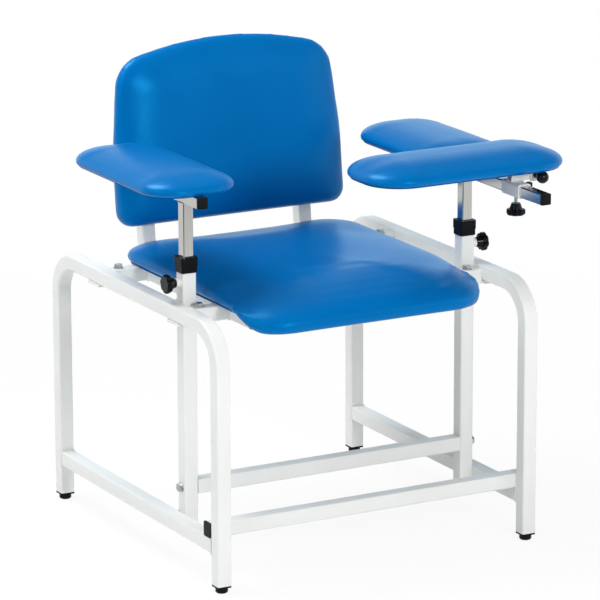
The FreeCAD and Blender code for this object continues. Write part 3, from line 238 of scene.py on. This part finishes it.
def drawn_chrome(label, stretch):
    """Chrome whose draw lines run along the tube; stretch is small along it."""
    made, tree = new_material(label)
    spot = wire(tree, "ShaderNodeTexCoord").outputs["Object"]
    along = wire(tree, "ShaderNodeMapping", Vector=spot, Scale=stretch).outputs[0]
    lines = wire(tree, "ShaderNodeTexNoise", Vector=along, Scale=1.0, Detail=3.0).outputs["Fac"]
    tone = wire(tree, "ShaderNodeValToRGB", Fac=lines)
    for stop, place, colour in zip(tone.color_ramp.elements, (0.3, 0.7),
                                   ((0.55, 0.54, 0.52, 1), (0.68, 0.67, 0.65, 1))):
        stop.position = place
        stop.color = colour
    rough = wire(tree, "ShaderNodeMapRange", Value=lines, To_Min=0.08, To_Max=0.17).outputs["Result"]
    normal = wire(tree, "ShaderNodeBump", Height=lines, Strength=0.05, Distance=0.0001).outputs[0]
    skin = wire(tree, "ShaderNodeBsdfPrincipled", Base_Color=tone.outputs["Color"], Roughness=rough,
                Metallic=1.0, Normal=normal).outputs[0]
    wire(tree, "ShaderNodeOutputMaterial", Surface=skin)
    return made


post_chrome = drawn_chrome("post_chrome", (LINES_ACROSS, LINES_ACROSS, LINES_ALONG))
bar_chrome = drawn_chrome("bar_chrome", (LINES_ACROSS, LINES_ALONG, LINES_ACROSS))
dress(post_chrome, ("arm_post_left", "arm_post_right"))
dress(bar_chrome, ("arm_bar_left", "arm_bar_right"))


# Bolts, nuts, washers, screws, threaded plugs and the knobs' studs: steel, zinc plated,
# slightly grey and uneven.
zinc = finish("zinc_plate", dict(
    Colour=(0.6, 0.6, 0.58, 1), Worn_Colour=(0.45, 0.45, 0.44, 1), Patch_Scale=90.0,
    Roughness=0.28, Roughness_Spread=0.15, Grain_Scale=1500.0), metallic=1.0, bump=0.08, depth=0.0001)
dress(zinc, in_slot("zinc_plated_steel"))


# Tube caps, foot inserts, glides and post collars: black plastic, injection moulded and pushed in.
# They have a fine, dull moulded grain.
moulded = finish("moulded_plastic", dict(
    Colour=(0.003, 0.0035, 0.004, 1), Worn_Colour=(0.007, 0.0075, 0.008, 1), Patch_Scale=40.0,
    Roughness=0.34, Roughness_Spread=0.14, Grain_Scale=2200.0), bump=0.2, specular=0.12)
dress(moulded, in_slot("black_plastic"))


# Star knobs and the hinge's ball knob: black nylon moulded on a threaded insert, and a little
# glossier than the caps from handling.
knob_plastic = finish("knob_plastic", dict(
    Colour=(0.002, 0.0025, 0.003, 1), Worn_Colour=(0.006, 0.006, 0.007, 1), Patch_Scale=60.0,
    Roughness=0.2, Roughness_Spread=0.12, Grain_Scale=1800.0), bump=0.12, depth=0.0001, specular=0.22)
dress(knob_plastic, [name for name in nodes if name.endswith("knob") or "star_knob" in name])


# Bumpers of the flip-up pad: black rubber buttons, matt and slightly dusty.
rubber = finish("black_rubber", dict(
    Colour=(0.02, 0.02, 0.02, 1), Worn_Colour=(0.035, 0.034, 0.032, 1), Patch_Scale=70.0,
    Roughness=0.6, Roughness_Spread=0.2, Grain_Scale=1200.0), bump=0.3, specular=0.2)
dress(rubber, in_slot("black_rubber"))


# Boards of the back and the arm pads: sawn plywood, brushed with thin black paint, so the grain
# and the brush's uneven coat still show.
plywood = finish("painted_plywood", dict(
    Colour=(0.02, 0.02, 0.022, 1), Worn_Colour=(0.04, 0.039, 0.037, 1), Patch_Scale=22.0,
    Roughness=0.62, Roughness_Spread=0.2, Grain_Scale=260.0), bump=0.4, depth=0.0004, specular=0.25)
dress(plywood, in_slot("painted_plywood"))


# Seat cushion: blue vinyl drawn over foam on a board. Its front rolls over the board's front edge.
# Each cushion starts as a smooth form a little under size and is blown up as cloth, with all the
# others, once every form is there. Sizes are in mm, from the board's underside up.
MM = 0.001
START_UNDER, HOLLOW = 0.6, 4.5
BOARD_RIM, HOLLOW_RIM = 10.0, 34.0
FARTHEST_IN = 0.97
SEAT_SIZE, SEAT_CORNERS = (458.0, 513.0), (78, 78, 60, 60)
SEAT_THICK, SEAT_SWELL = 35.2, 1.6
SEAT_SPINE, SEAT_PLACE = ((-60, -90), (60, 150)), (0, -45.5, 447.5)
SEAT_CAP, SEAT_HELD, SEAT_VOXEL = 2.5, 13.0, 6
ROLL_OVER, ROLL_DOWN = (-45, -252), (-165, -240)
SEAT_SIDE = (
    (HOLLOW, 50.0), (HOLLOW, 46.0), (0.0, 12.0), (0.0, 7.0), (2.5, 3.5), (6.0, 1.0), (10.0, 0.0), (14.0, 0.3),
    (18.5, 2.8), (23.0, 9.0), (26.5, 17.0), (29.5, 28.0), (31.8, 41.0), (33.0, 56.0), (33.6, 72.0))
SEAT_FRONT = (
    (0.0, 50.0), (-27.0, 46.0), (-28.5, 14.0), (-27.0, 7.0), (-23.5, 2.2), (-17.0, 0.0), (-10.0, 1.0),
    (-2.5, 5.5), (5.0, 15.0), (12.5, 31.0), (19.5, 54.0), (25.3, 81.0), (30.2, 110.0), (33.5, 136.0),
    (34.2, 158.0))

vinyl, tree = new_material("blue_vinyl")
look = wire(tree, "ShaderNodeGroup", {"node_tree": mottled}, Colour=(0.0, 0.128, 0.395, 1),
            Worn_Colour=(0.0, 0.137, 0.42, 1), Patch_Scale=6.0, Roughness=0.3, Roughness_Spread=0.06,
            Grain_Scale=1400.0).outputs
spot = wire(tree, "ShaderNodeTexCoord").outputs["Object"]
pebble = wire(tree, "ShaderNodeTexVoronoi", {"feature": "SMOOTH_F1"}, Vector=spot, Scale=780.0,
              Smoothness=0.6).outputs["Distance"]
relief = wire(tree, "ShaderNodeMath", {"operation": "MULTIPLY_ADD"}, _0=look["Height"], _1=0.35,
              _2=pebble).outputs[0]
normal = wire(tree, "ShaderNodeBump", Height=relief, Strength=0.12, Distance=0.0003).outputs[0]
skin = wire(tree, "ShaderNodeBsdfPrincipled", Base_Color=look["Colour"], Roughness=look["Roughness"],
            Normal=normal, IOR=1.5, Specular_IOR_Level=0.5, Specular_Tint=(0.02, 0.55, 1.0, 1)).outputs[0]
wire(tree, "ShaderNodeOutputMaterial", Surface=skin)


def rectangle(wide, long):
    """The corners of a rectangle about the origin."""
    return [(x * wide / 2, y * long / 2) for x, y in ((-1, -1), (1, -1), (1, 1), (-1, 1))]


def outline(corners, reach, step=4.0):
    """Points round an outline whose corners are rounded, each from its own reach along both sides."""
    line = []
    count = len(corners)
    for index in range(count):
        before, here, after = (np.array(corners[(index + k) % count], float) for k in (-1, 0, 1))
        arriving = (here - before) / np.linalg.norm(here - before)
        leaving = (after - here) / np.linalg.norm(after - here)
        half = math.acos(max(-1, min(1, arriving @ leaving))) / 2
        radius = reach[index] / math.tan(half)
        inward = np.array((-arriving[1], arriving[0]))
        centre = here - arriving * reach[index] + inward * radius
        for turn in np.linspace(0, 2 * half, max(3, int(2 * half * radius / step) + 1)):
            line.append(centre - radius * (inward * math.cos(turn) - arriving * math.sin(turn)))
    line = np.array(line)
    reached = np.r_[0, np.cumsum(np.linalg.norm(np.roll(line, -1, 0) - line, axis=1))]
    spots = np.linspace(0, reached[-1], int(reached[-1] / step), endpoint=False)
    closed = np.vstack((line, line[:1]))
    return np.column_stack([np.interp(spots, reached, closed[:, k]) for k in (0, 1)])


def facing(rim):
    """The way outwards at each point of a rim."""
    across = np.roll(rim, -1, 0) - np.roll(rim, 1, 0)
    return np.column_stack((across[:, 1], -across[:, 0])) / np.linalg.norm(across, axis=1)[:, None]


def toward_spine(rim, spine):
    """From each point of a rim to the nearest of a rectangle in the middle, and how far that is."""
    toward = np.clip(rim, spine[0], spine[1]) - rim
    return toward, np.linalg.norm(toward, axis=1)


def waterfall_rings(rim):
    """Rings for the seat, whose front rolls over and hangs below its underside.

    Side and front rows, as many in each, are a ring's height and how far in it is. A point of the
    rim takes its share of the front row from how far forward it is; where the front row is below
    the underside, that share grows later.
    """
    toward, reach = toward_spine(rim, SEAT_SPINE)

    def share(start, end):
        forward = np.clip((start - rim[:, 1]) / (start - end), 0, 1)
        return forward * forward * (3 - 2 * forward)

    over, hang = share(*ROLL_OVER), share(*ROLL_DOWN)
    rings = []
    for (side_high, side_in), (front_high, front_in) in zip(SEAT_SIDE, SEAT_FRONT):
        part = hang if front_high < min(side_high, 0) else over
        inset = side_in + (front_in - side_in) * over
        high = side_high + (front_high - side_high) * part
        rings.append(np.column_stack((rim + toward * np.minimum(inset / reach, FARTHEST_IN)[:, None], high)))
    top = rings[-1]
    for step in (0.3, 0.6, 0.9):
        lift = top[:, 2] + SEAT_SWELL * (1 - (1 - step) ** 2)
        rings.append(np.column_stack((top[:, :2] + (rim + toward - top[:, :2]) * step, lift)))
    return rings


def stacked(rings):
    """A closed mesh from rings of equally many points, each end closed by a fan."""
    mesh = bmesh.new()
    loops = [[mesh.verts.new(point) for point in ring] for ring in rings]
    count = len(loops[0])
    for lower, upper in zip(loops, loops[1:]):
        for index in range(count):
            after = (index + 1) % count
            mesh.faces.new((lower[index], lower[after], upper[after], upper[index]))
    for loop, turned in ((loops[0], True), (loops[-1], False)):
        heart = mesh.verts.new(sum((vert.co for vert in loop), Vector()) / count)
        for index in range(count):
            pair = (loop[index], loop[(index + 1) % count])
            mesh.faces.new((heart,) + (pair[::-1] if turned else pair))
    return mesh


def piece_from(label, mesh):
    """An object from a bmesh, its faces turned outwards."""
    bmesh.ops.recalc_face_normals(mesh, faces=mesh.faces)
    made = bpy.data.meshes.new(label)
    mesh.to_mesh(made)
    mesh.free()
    piece = bpy.data.objects.new(label, made)
    scene.collection.objects.link(piece)
    return piece


def evaluated(piece):
    """The piece's mesh with its modifiers, as a plain mesh of its own."""
    bpy.context.view_layer.update()
    depsgraph = bpy.context.evaluated_depsgraph_get()
    return bpy.data.meshes.new_from_object(piece.evaluated_get(depsgraph))


def coordinates(mesh):
    """The vertices of a mesh as an array."""
    flat = np.empty(len(mesh.vertices) * 3)
    mesh.vertices.foreach_get("co", flat)
    return flat.reshape(-1, 3)


covers = []


def upholster(label, rim, rings, thick, turn, place, voxel, cap, held, body, node, thinner=0.0):
    """Start a cushion in its own flat frame, as evenly sized quads; it is blown up with the others.

    It is as much too thin at first as the cloth may move, the cap, and is held to its board up
    to a height. Thinner is the share of its thickness that it loses from its lower edge to its
    upper one.
    """
    form = piece_from(label, stacked(rings))
    for vert in form.data.vertices:
        if vert.co.z > held:
            vert.co.z = held + (vert.co.z - held) * (thick - cap - held) / (thick - held)
        vert.co.z *= 1 - thinner * vert.co.y / rim[:, 1].max()
        vert.co = vert.co * MM
    even = form.modifiers.new("even", "REMESH")
    even.mode = "VOXEL"
    even.voxel_size = voxel * MM
    even.use_smooth_shade = True
    remeshed = evaluated(form)
    form.modifiers.clear()
    form.data = remeshed
    covers.append((form, rim, turn, place, cap * MM, held * MM, body, node))


FLAT = Matrix.Identity(3)
seat_rim = outline(rectangle(*SEAT_SIZE), SEAT_CORNERS)
upholster("seat_upholstery", seat_rim, waterfall_rings(seat_rim - facing(seat_rim) * START_UNDER), SEAT_THICK,
          FLAT, SEAT_PLACE, SEAT_VOXEL, SEAT_CAP, SEAT_HELD, "frame", "seat_cushion")


# Back cushion: the same vinyl and foam on a shield-shaped board, screwed to the two uprights.
# It is thickest low down, where the sitter leans, and leans back 5 degrees.
BACK_CORNERS = [(-220, 0), (220, 0), (222, 120), (206, 284), (0, 330), (-206, 284), (-222, 120)]
BACK_REACH = [27, 27, 29.2, 44, 143.7, 44, 29.2]
BACK_SPINE, BACK_PLACE = ((-100, 120), (100, 216)), (0, 231.4, 496)
BACK_THICK, BACK_THINNER, BACK_WIDEST, BACK_DOME, BACK_DOME_REACH = 54.0, 0.33, 0.42, 3.0, 112.0
BACK_CAP, BACK_HELD, BACK_VOXEL = 3.0, 13.0, 6
LEANING = Matrix.Rotation(math.radians(85), 3, "X")


def domed(widest, power, reach):
    """Rows for a cushion that is widest low down, and from there an oval up to its middle.

    A row is a ring's share of the thickness and how far in the ring is.
    """
    rows = [(share * widest, inset) for share, inset in ((0, 6.0), (0.22, 2.4), (0.6, 0.5), (1, 0))]
    for step in (0.02, 0.06, 0.12, 0.19, 0.28, 0.38, 0.5, 0.63, 0.78):
        rows.append((widest + (1 - widest) * math.sqrt(1 - (1 - step) ** power), step * reach))
    return rows


def crowned_rings(rim, spine, rows, thick):
    """Rings from the board's underside round the rim and in over the top."""
    toward, reach = toward_spine(rim, spine)
    rings = []
    for high, inset in ((HOLLOW / thick, HOLLOW_RIM), (0.0, BOARD_RIM), *rows):
        step = np.minimum(inset / reach, FARTHEST_IN)
        rings.append(np.column_stack((rim + toward * step[:, None], np.full(len(rim), high * thick))))
    top = rings[-1]
    for step in (0.4, 0.8):
        lift = top[:, 2] + (thick - top[:, 2]) * (1 - (1 - step) ** 2)
        rings.append(np.column_stack((top[:, :2] + (rim + toward - top[:, :2]) * step, lift)))
    return rings


back_rim = outline(BACK_CORNERS, BACK_REACH)
back_rings = crowned_rings(back_rim - facing(back_rim) * START_UNDER, BACK_SPINE,
                           domed(BACK_WIDEST, BACK_DOME, BACK_DOME_REACH), BACK_THICK)
upholster("back_upholstery", back_rim, back_rings, BACK_THICK, LEANING, BACK_PLACE, BACK_VOXEL, BACK_CAP,
          BACK_HELD, "frame", "back_cushion", BACK_THINNER)


# Arm pads: three long pads of vinyl and foam, each on a board screwed to its bar, and the third,
# which flips up, to the ears of its hinge. All have round ends and a low oval crown.
PAD_WIDEST, PAD_DOME, PAD_CAP, PAD_HELD, PAD_VOXEL = 0.24, 2.2, 1.5, 9.0, 4
PAD_WIDE, PAD_THICK, PAD_REACH = 166.0, 33.0, 80.0
FLIP_WIDE, FLIP_THICK, FLIP_REACH = 170.0, 34.5, 82.0
SPINE_HALF, SPINE_END = 6, 83

for label, wide, long, thick, dome_reach, corner, place, body, node in (
    ("left_pad", PAD_WIDE, 346.0, PAD_THICK, PAD_REACH, 60, (-264, -10, 640), "left_arm", "arm_cushion_left"),
    ("right_pad", PAD_WIDE, 306.0, PAD_THICK, PAD_REACH, 70, (278, 2, 626), "right_arm", "arm_cushion_right"),
    ("flip_pad", 374.0, FLIP_WIDE, FLIP_THICK, FLIP_REACH, 68, (175.5, -252, 648.5), "flip_pad", "flip_cushion"),
):
    pad_rim = outline(rectangle(wide, long), [corner] * 4)
    if wide < long:
        spine = ((-SPINE_HALF, SPINE_END - long / 2), (SPINE_HALF, long / 2 - SPINE_END))
    else:
        spine = ((SPINE_END + 2 - wide / 2, -SPINE_HALF), (wide / 2 - SPINE_END - 2, SPINE_HALF))
    pad_rings = crowned_rings(pad_rim - facing(pad_rim) * START_UNDER, spine,
                              domed(PAD_WIDEST, PAD_DOME, dome_reach), thick)
    upholster(f"{label}_upholstery", pad_rim, pad_rings, thick, FLAT, place, PAD_VOXEL, PAD_CAP, PAD_HELD,
              body, node)


# Seat board: black-painted plywood under the seat's foam. It stops behind the rolled front and
# comes in a little at its front corners, and its lower edge is eased.
BOARD_THICK, BOARD_EASE = 12.0, 1.2
BOARD_BEHIND_FRONT = 56
BOARD_NARROWS_FROM, BOARD_NARROWS_OVER = -20, 230
forward = np.clip((BOARD_NARROWS_FROM - seat_rim[:, 1]) / BOARD_NARROWS_OVER, 0, 1)
toward, reach = toward_spine(seat_rim, SEAT_SPINE)
toward /= reach[:, None]
rings = []
for high, eased_in in ((0, BOARD_EASE), (BOARD_EASE, 0), (BOARD_THICK - BOARD_EASE, 0), (BOARD_THICK, BOARD_EASE)):
    ring = seat_rim + toward * (BOARD_RIM + eased_in + 12 * forward + 16 * forward ** 2)[:, None]
    ring[:, 1] = np.maximum(ring[:, 1], BOARD_BEHIND_FRONT + eased_in - SEAT_SIZE[1] / 2)
    rings.append((np.column_stack((ring, np.full(len(ring), high))) + SEAT_PLACE) * MM)
seat_plywood = piece_from("seat_board_plywood", stacked(rings))
seat_plywood.data.materials.append(plywood)
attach(seat_plywood, "frame")
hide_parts("seat_board")


# Drawing the covers tight: all five are blown up together as cloth held at the board, and each may
# move as far as its cap. The small creases are drawn out of that movement, since the real covers
# are pulled smooth, and the outline stays that of the foam.
CLOTH_FRAMES, CLOTH_STIFF, CLOTH_PRESSURE = 20, 22, 4.0
SMOOTHED, FILL = 60, 0.85

starts = [coordinates(form.data) for form, *rest in covers]
for form, rim, turn, place, cap, held, body, node in covers:
    board = form.vertex_groups.new(name="board")
    board.add([vert.index for vert in form.data.vertices if vert.co.z < held], 1.0, "REPLACE")
    cloth = form.modifiers.new("skin", "CLOTH")
    cloth.settings.quality = 6
    cloth.settings.mass = 0.4
    cloth.settings.tension_stiffness = cloth.settings.compression_stiffness = CLOTH_STIFF
    cloth.settings.bending_stiffness = 1.5
    cloth.settings.use_pressure = True
    cloth.settings.uniform_pressure_force = CLOTH_PRESSURE
    cloth.settings.vertex_group_mass = "board"
    cloth.settings.effector_weights.gravity = 0.0
    cloth.collision_settings.use_collision = False
    cloth.point_cache.frame_start = 1
    cloth.point_cache.frame_end = CLOTH_FRAMES
for step in range(1, CLOTH_FRAMES + 1):
    scene.frame_set(step)


def drawn_out(move, mesh):
    """A movement of a mesh's vertices, evened out over their neighbours."""
    count = len(move)
    ends = np.empty(len(mesh.edges) * 2, int)
    mesh.edges.foreach_get("vertices", ends)
    one, two = ends.reshape(-1, 2).T
    near = np.maximum(np.bincount(ends, minlength=count), 1)
    for _ in range(SMOOTHED):
        around = np.column_stack([
            np.bincount(one, move[two, axis], count) + np.bincount(two, move[one, axis], count)
            for axis in range(3)])
        move = (move + around / near[:, None]) / 2
    return move


for (form, rim, turn, place, cap, held, body, node), start in zip(covers, starts):
    blown = coordinates(evaluated(form))
    form.modifiers.clear()
    form.vertex_groups.clear()
    move = blown - start
    far = np.linalg.norm(move, axis=1)
    move *= (cap * np.tanh(far / cap) / np.maximum(far, 1e-9))[:, None]
    final = start + drawn_out(move, form.data)
    low, high = final.min(0)[:2], final.max(0)[:2]
    wanted_low, wanted_high = rim.min(0) * MM, rim.max(0) * MM
    final[:, :2] = wanted_low + (final[:, :2] - low) * (wanted_high - wanted_low) / (high - low)
    final = final @ np.array(turn).T + np.array(place) * MM
    form.data.vertices.foreach_set("co", final.ravel())
    form.data.update()
    finer = form.modifiers.new("finer", "SUBSURF")
    finer.levels = finer.render_levels = 1
    smooth = evaluated(form)
    form.modifiers.clear()
    form.data = smooth
    smooth.materials.clear()
    smooth.materials.append(vinyl)
    smooth.polygons.foreach_set("use_smooth", [True] * len(smooth.polygons))
    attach(form, body)
    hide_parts(node)
scene.frame_set(1)


# Turned-under vinyl: each cushion's cover is folded round its board, cut off by hand in an uneven
# line, and stapled to the underside all round with steel staples, laid along the edge.
TURN_EDGE, TURN_WIDE, TURN_UNEVEN, TURN_THICK = 5.0, 22.0, 2.2, 0.7
TURN_LIP, TURN_ABOVE, STAPLES_IN = 1.5, (0.6, 0.3), 0.45
STAPLE_SPACING, STAPLE_RADIUS, STAPLE_LONG = 21, 0.45, 24.0
chance = np.random.default_rng(7)


def turned_under(label, rim, board_front, turn, place, body):
    """A thin strip of vinyl under the board's edge, and the line that its staples follow."""
    inward = -facing(rim)
    uneven = chance.normal(0, 1, len(rim))
    for _ in range(12):
        uneven = (np.roll(uneven, 1) + uneven + np.roll(uneven, -1)) / 3
    uneven *= TURN_UNEVEN / np.abs(uneven).max()
    cut_off = TURN_EDGE + TURN_WIDE
    rings = []
    for inset, high, cut in ((TURN_EDGE + TURN_LIP, TURN_ABOVE[0], 0), (TURN_EDGE, -TURN_THICK, 0),
                             (cut_off, -TURN_THICK, 1), (cut_off + 0.6, TURN_ABOVE[1], 1)):
        ring = rim + inward * (inset + cut * uneven)[:, None]
        if board_front is not None:
            ring[:, 1] = np.maximum(ring[:, 1], board_front + inset - TURN_EDGE)
        rings.append(np.column_stack((ring, np.full(len(rim), high))))
    mesh = bmesh.new()
    loops = [[mesh.verts.new(point) for point in ring] for ring in rings]
    for lower, upper in zip(loops, loops[1:] + loops[:1]):
        for index in range(len(rim)):
            after = (index + 1) % len(rim)
            mesh.faces.new((lower[index], lower[after], upper[after], upper[index]))
    strip = piece_from(label, mesh)
    points = coordinates(strip.data) @ np.array(turn).T * MM + np.array(place) * MM
    strip.data.vertices.foreach_set("co", points.ravel())
    strip.data.materials.append(vinyl)
    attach(strip, body)
    outer, inner = rings[1], rings[2]
    return (outer + (inner - outer) * STAPLES_IN) @ np.array(turn).T + np.array(place)


def repeat_tree(label, shape):
    """Geometry nodes that set a shape every so far along the edges of a mesh."""
    tree = bpy.data.node_groups.new(label, "GeometryNodeTree")
    for name, kind in (("Geometry", "NodeSocketGeometry"), ("Spacing", "NodeSocketFloat"),
                       ("Size", "NodeSocketFloat"), ("Seed", "NodeSocketInt"),
                       ("Material", "NodeSocketMaterial")):
        tree.interface.new_socket(name, in_out="INPUT", socket_type=kind)
    tree.interface.new_socket("Geometry", in_out="OUTPUT", socket_type="NodeSocketGeometry")
    given = wire(tree, "NodeGroupInput").outputs
    curve = wire(tree, "GeometryNodeMeshToCurve", Mesh=given["Geometry"]).outputs[0]
    spaced = wire(tree, "GeometryNodeResampleCurve", {"mode": "LENGTH"}, Curve=curve,
                  Length=given["Spacing"]).outputs[0]
    along = wire(tree, "GeometryNodeInputTangent").outputs[0]
    turned = wire(tree, "FunctionNodeAlignRotationToVector", {"axis": "Z"}, Vector=along).outputs[0]
    uneven = wire(tree, "FunctionNodeRandomValue", {"data_type": "FLOAT_VECTOR"}, _0=(0.8, 0.8, 0.8),
                  _1=(1.2, 1.2, 1.2), Seed=given["Seed"]).outputs[0]
    smooth = wire(tree, "GeometryNodeSetShadeSmooth", Geometry=shape(tree, given["Size"])).outputs[0]
    placed = wire(tree, "GeometryNodeInstanceOnPoints", Points=spaced, Instance=smooth, Rotation=turned,
                  Scale=uneven).outputs[0]
    real = wire(tree, "GeometryNodeRealizeInstances", Geometry=placed).outputs[0]
    done = wire(tree, "GeometryNodeSetMaterial", Geometry=real, Material=given["Material"]).outputs[0]
    wire(tree, "NodeGroupOutput", Geometry=done)
    return tree


def repeated(label, lines, tree, spacing, size, seed, material, body, slot):
    """A piece that repeats a tree's shape along closed or open lines, each a list of points in mm."""
    drawn = bmesh.new()
    for points, closed in lines:
        verts = [drawn.verts.new(Vector(point) * MM) for point in points]
        for first, second in zip(verts, verts[1:] + verts[:1] if closed else verts[1:]):
            drawn.edges.new((first, second))
    piece = piece_from(label, drawn)
    change = piece.modifiers.new("repeats", "NODES")
    change.node_group = tree
    values = {"Spacing": spacing * MM, "Size": size * MM, "Seed": seed, "Material": material}
    for item in tree.interface.items_tree:
        if item.in_out == "INPUT" and item.name in values:
            change[item.identifier] = values[item.name]
    real = evaluated(piece)
    piece.modifiers.clear()
    piece.data = real
    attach(piece, body)


def staple(tree, size):
    """A staple's crown: a short wire laid along the edge."""
    long = wire(tree, "ShaderNodeMath", {"operation": "MULTIPLY"}, _0=size, _1=STAPLE_LONG).outputs[0]
    return wire(tree, "GeometryNodeMeshCylinder", Vertices=6, Radius=size, Depth=long).outputs[0]


staples = repeat_tree("staples", staple)
for seed, (form, rim, turn, place, cap, held, body, node) in enumerate(covers):
    stem = form.name.replace("_upholstery", "")
    board_front = BOARD_BEHIND_FRONT - SEAT_SIZE[1] / 2 if stem == "seat" else None
    line = turned_under(f"{stem}_turned_under", rim, board_front, turn, place, body)
    repeated(f"{stem}_staples", [(line, True)], staples, STAPLE_SPACING, STAPLE_RADIUS, seed, zinc, body,
             "zinc_plated_steel")


# Welds: small rippled beads where the frame's tubes meet, under the same coat as the tubes, at the
# hinge tube on its carrier, and where each chromed bar meets its post. Places are in mm.
FRAME_WELD, CARRIER_WELD, ARM_WELD = (1.7, 1.5), (1.7, 1.4), (1.5, 1.1)
RAIL_OUT, RAIL_IN, RAIL_END, RAIL_LOW, RAIL_HIGH = 305, 279.6, 284.6, 64.4, 89.8
SEAT_TUBE_OUT, SEAT_TUBE_IN, SEAT_TUBE_LOW, SEAT_TUBE_HIGH = 208, 182.6, 422.1, 447.5
SEAT_TUBE_ENDS = (-168.6, -143.2, 130.6)
UPRIGHT_OUT, UPRIGHT_IN, UPRIGHT_FRONT = 167.2, 141.8, 156
SLEEVE_FACES, SLEEVE_AT_FRAME = (-143.2, -117.8), (428.6, 454)
STRETCHER_BACK, STRETCHER_END, STRETCHER_TOP = -259.2, 302, 115.2
BOSS_PLACE, BOSS_RADIUS, BOSS_TURNS = (279.9, -130.5, 486), 8.3, 24
CARRIER_FROM, CARRIER_TO, CARRIER_SIDES, CARRIER_TOP = 257.5, 279, (-298.5, -282.5), 628.6
POST_OUT, POST_IN, POST_FRONT, POST_BACK = 276.4, 257.4, -140, -121


def bead(tree, size):
    """One ripple of a weld."""
    return wire(tree, "GeometryNodeMeshIcoSphere", Radius=size, Subdivisions=1).outputs[0]


def ring_at(low, high, axis):
    """The four corners of a tube's end, in the plane across an axis: x, y or z is 0, 1 or 2."""
    one, two = (index for index in range(3) if index != axis)
    corners = []
    for first, second in ((low, low), (high, low), (high, high), (low, high)):
        corner = list(low)
        corner[one], corner[two] = first[one], second[two]
        corners.append(corner)
    return corners, True


welds = repeat_tree("welds", bead)
frame_lines = []
for side in (-1, 1):
    for end in (-RAIL_END, RAIL_END):
        frame_lines.append(ring_at((side * RAIL_IN, end, RAIL_LOW), (side * RAIL_OUT, end, RAIL_HIGH), 1))
    for end in SEAT_TUBE_ENDS:
        frame_lines.append(ring_at((side * SEAT_TUBE_IN, end, SEAT_TUBE_LOW),
                                   (side * SEAT_TUBE_OUT, end, SEAT_TUBE_HIGH), 1))
    frame_lines.append(ring_at((side * UPRIGHT_IN, UPRIGHT_FRONT, SEAT_TUBE_LOW),
                               (side * UPRIGHT_OUT, UPRIGHT_FRONT, SEAT_TUBE_HIGH), 1))
    for along in SLEEVE_FACES:
        for low, high in ((RAIL_LOW, RAIL_HIGH), SLEEVE_AT_FRAME):
            frame_lines.append(([(side * RAIL_IN, along, low), (side * RAIL_IN, along, high)], False))
    frame_lines.append(([(side * RAIL_IN, STRETCHER_BACK, RAIL_HIGH),
                         (side * STRETCHER_END, STRETCHER_BACK, RAIL_HIGH)], False))
    frame_lines.append(([(side * RAIL_IN, -RAIL_END, RAIL_HIGH),
                         (side * RAIL_IN, -RAIL_END, STRETCHER_TOP)], False))
    turns = np.linspace(0, 2 * math.pi, BOSS_TURNS + 1)[:-1]
    frame_lines.append(([(side * BOSS_PLACE[0], BOSS_PLACE[1] + BOSS_RADIUS * math.cos(angle),
                          BOSS_PLACE[2] + BOSS_RADIUS * math.sin(angle)) for angle in turns], True))
repeated("frame_welds", frame_lines, welds, *FRAME_WELD, 3, powder_coat, "frame", "white_powder_coat")
carrier_lines = [([(CARRIER_FROM, along, CARRIER_TOP), (CARRIER_TO, along, CARRIER_TOP)], False)
                 for along in CARRIER_SIDES]
repeated("carrier_welds", carrier_lines, welds, *CARRIER_WELD, 4, powder_coat, "carrier_body",
         "white_powder_coat")
for hand, side, high in (("left", -1, 621), ("right", 1, 607)):
    post_top = ring_at((side * POST_IN, POST_FRONT, high), (side * POST_OUT, POST_BACK, high), 2)
    repeated(f"{hand}_arm_welds", [post_top], welds, *ARM_WELD, 5, post_chrome, f"{hand}_arm", "chromed_tube")
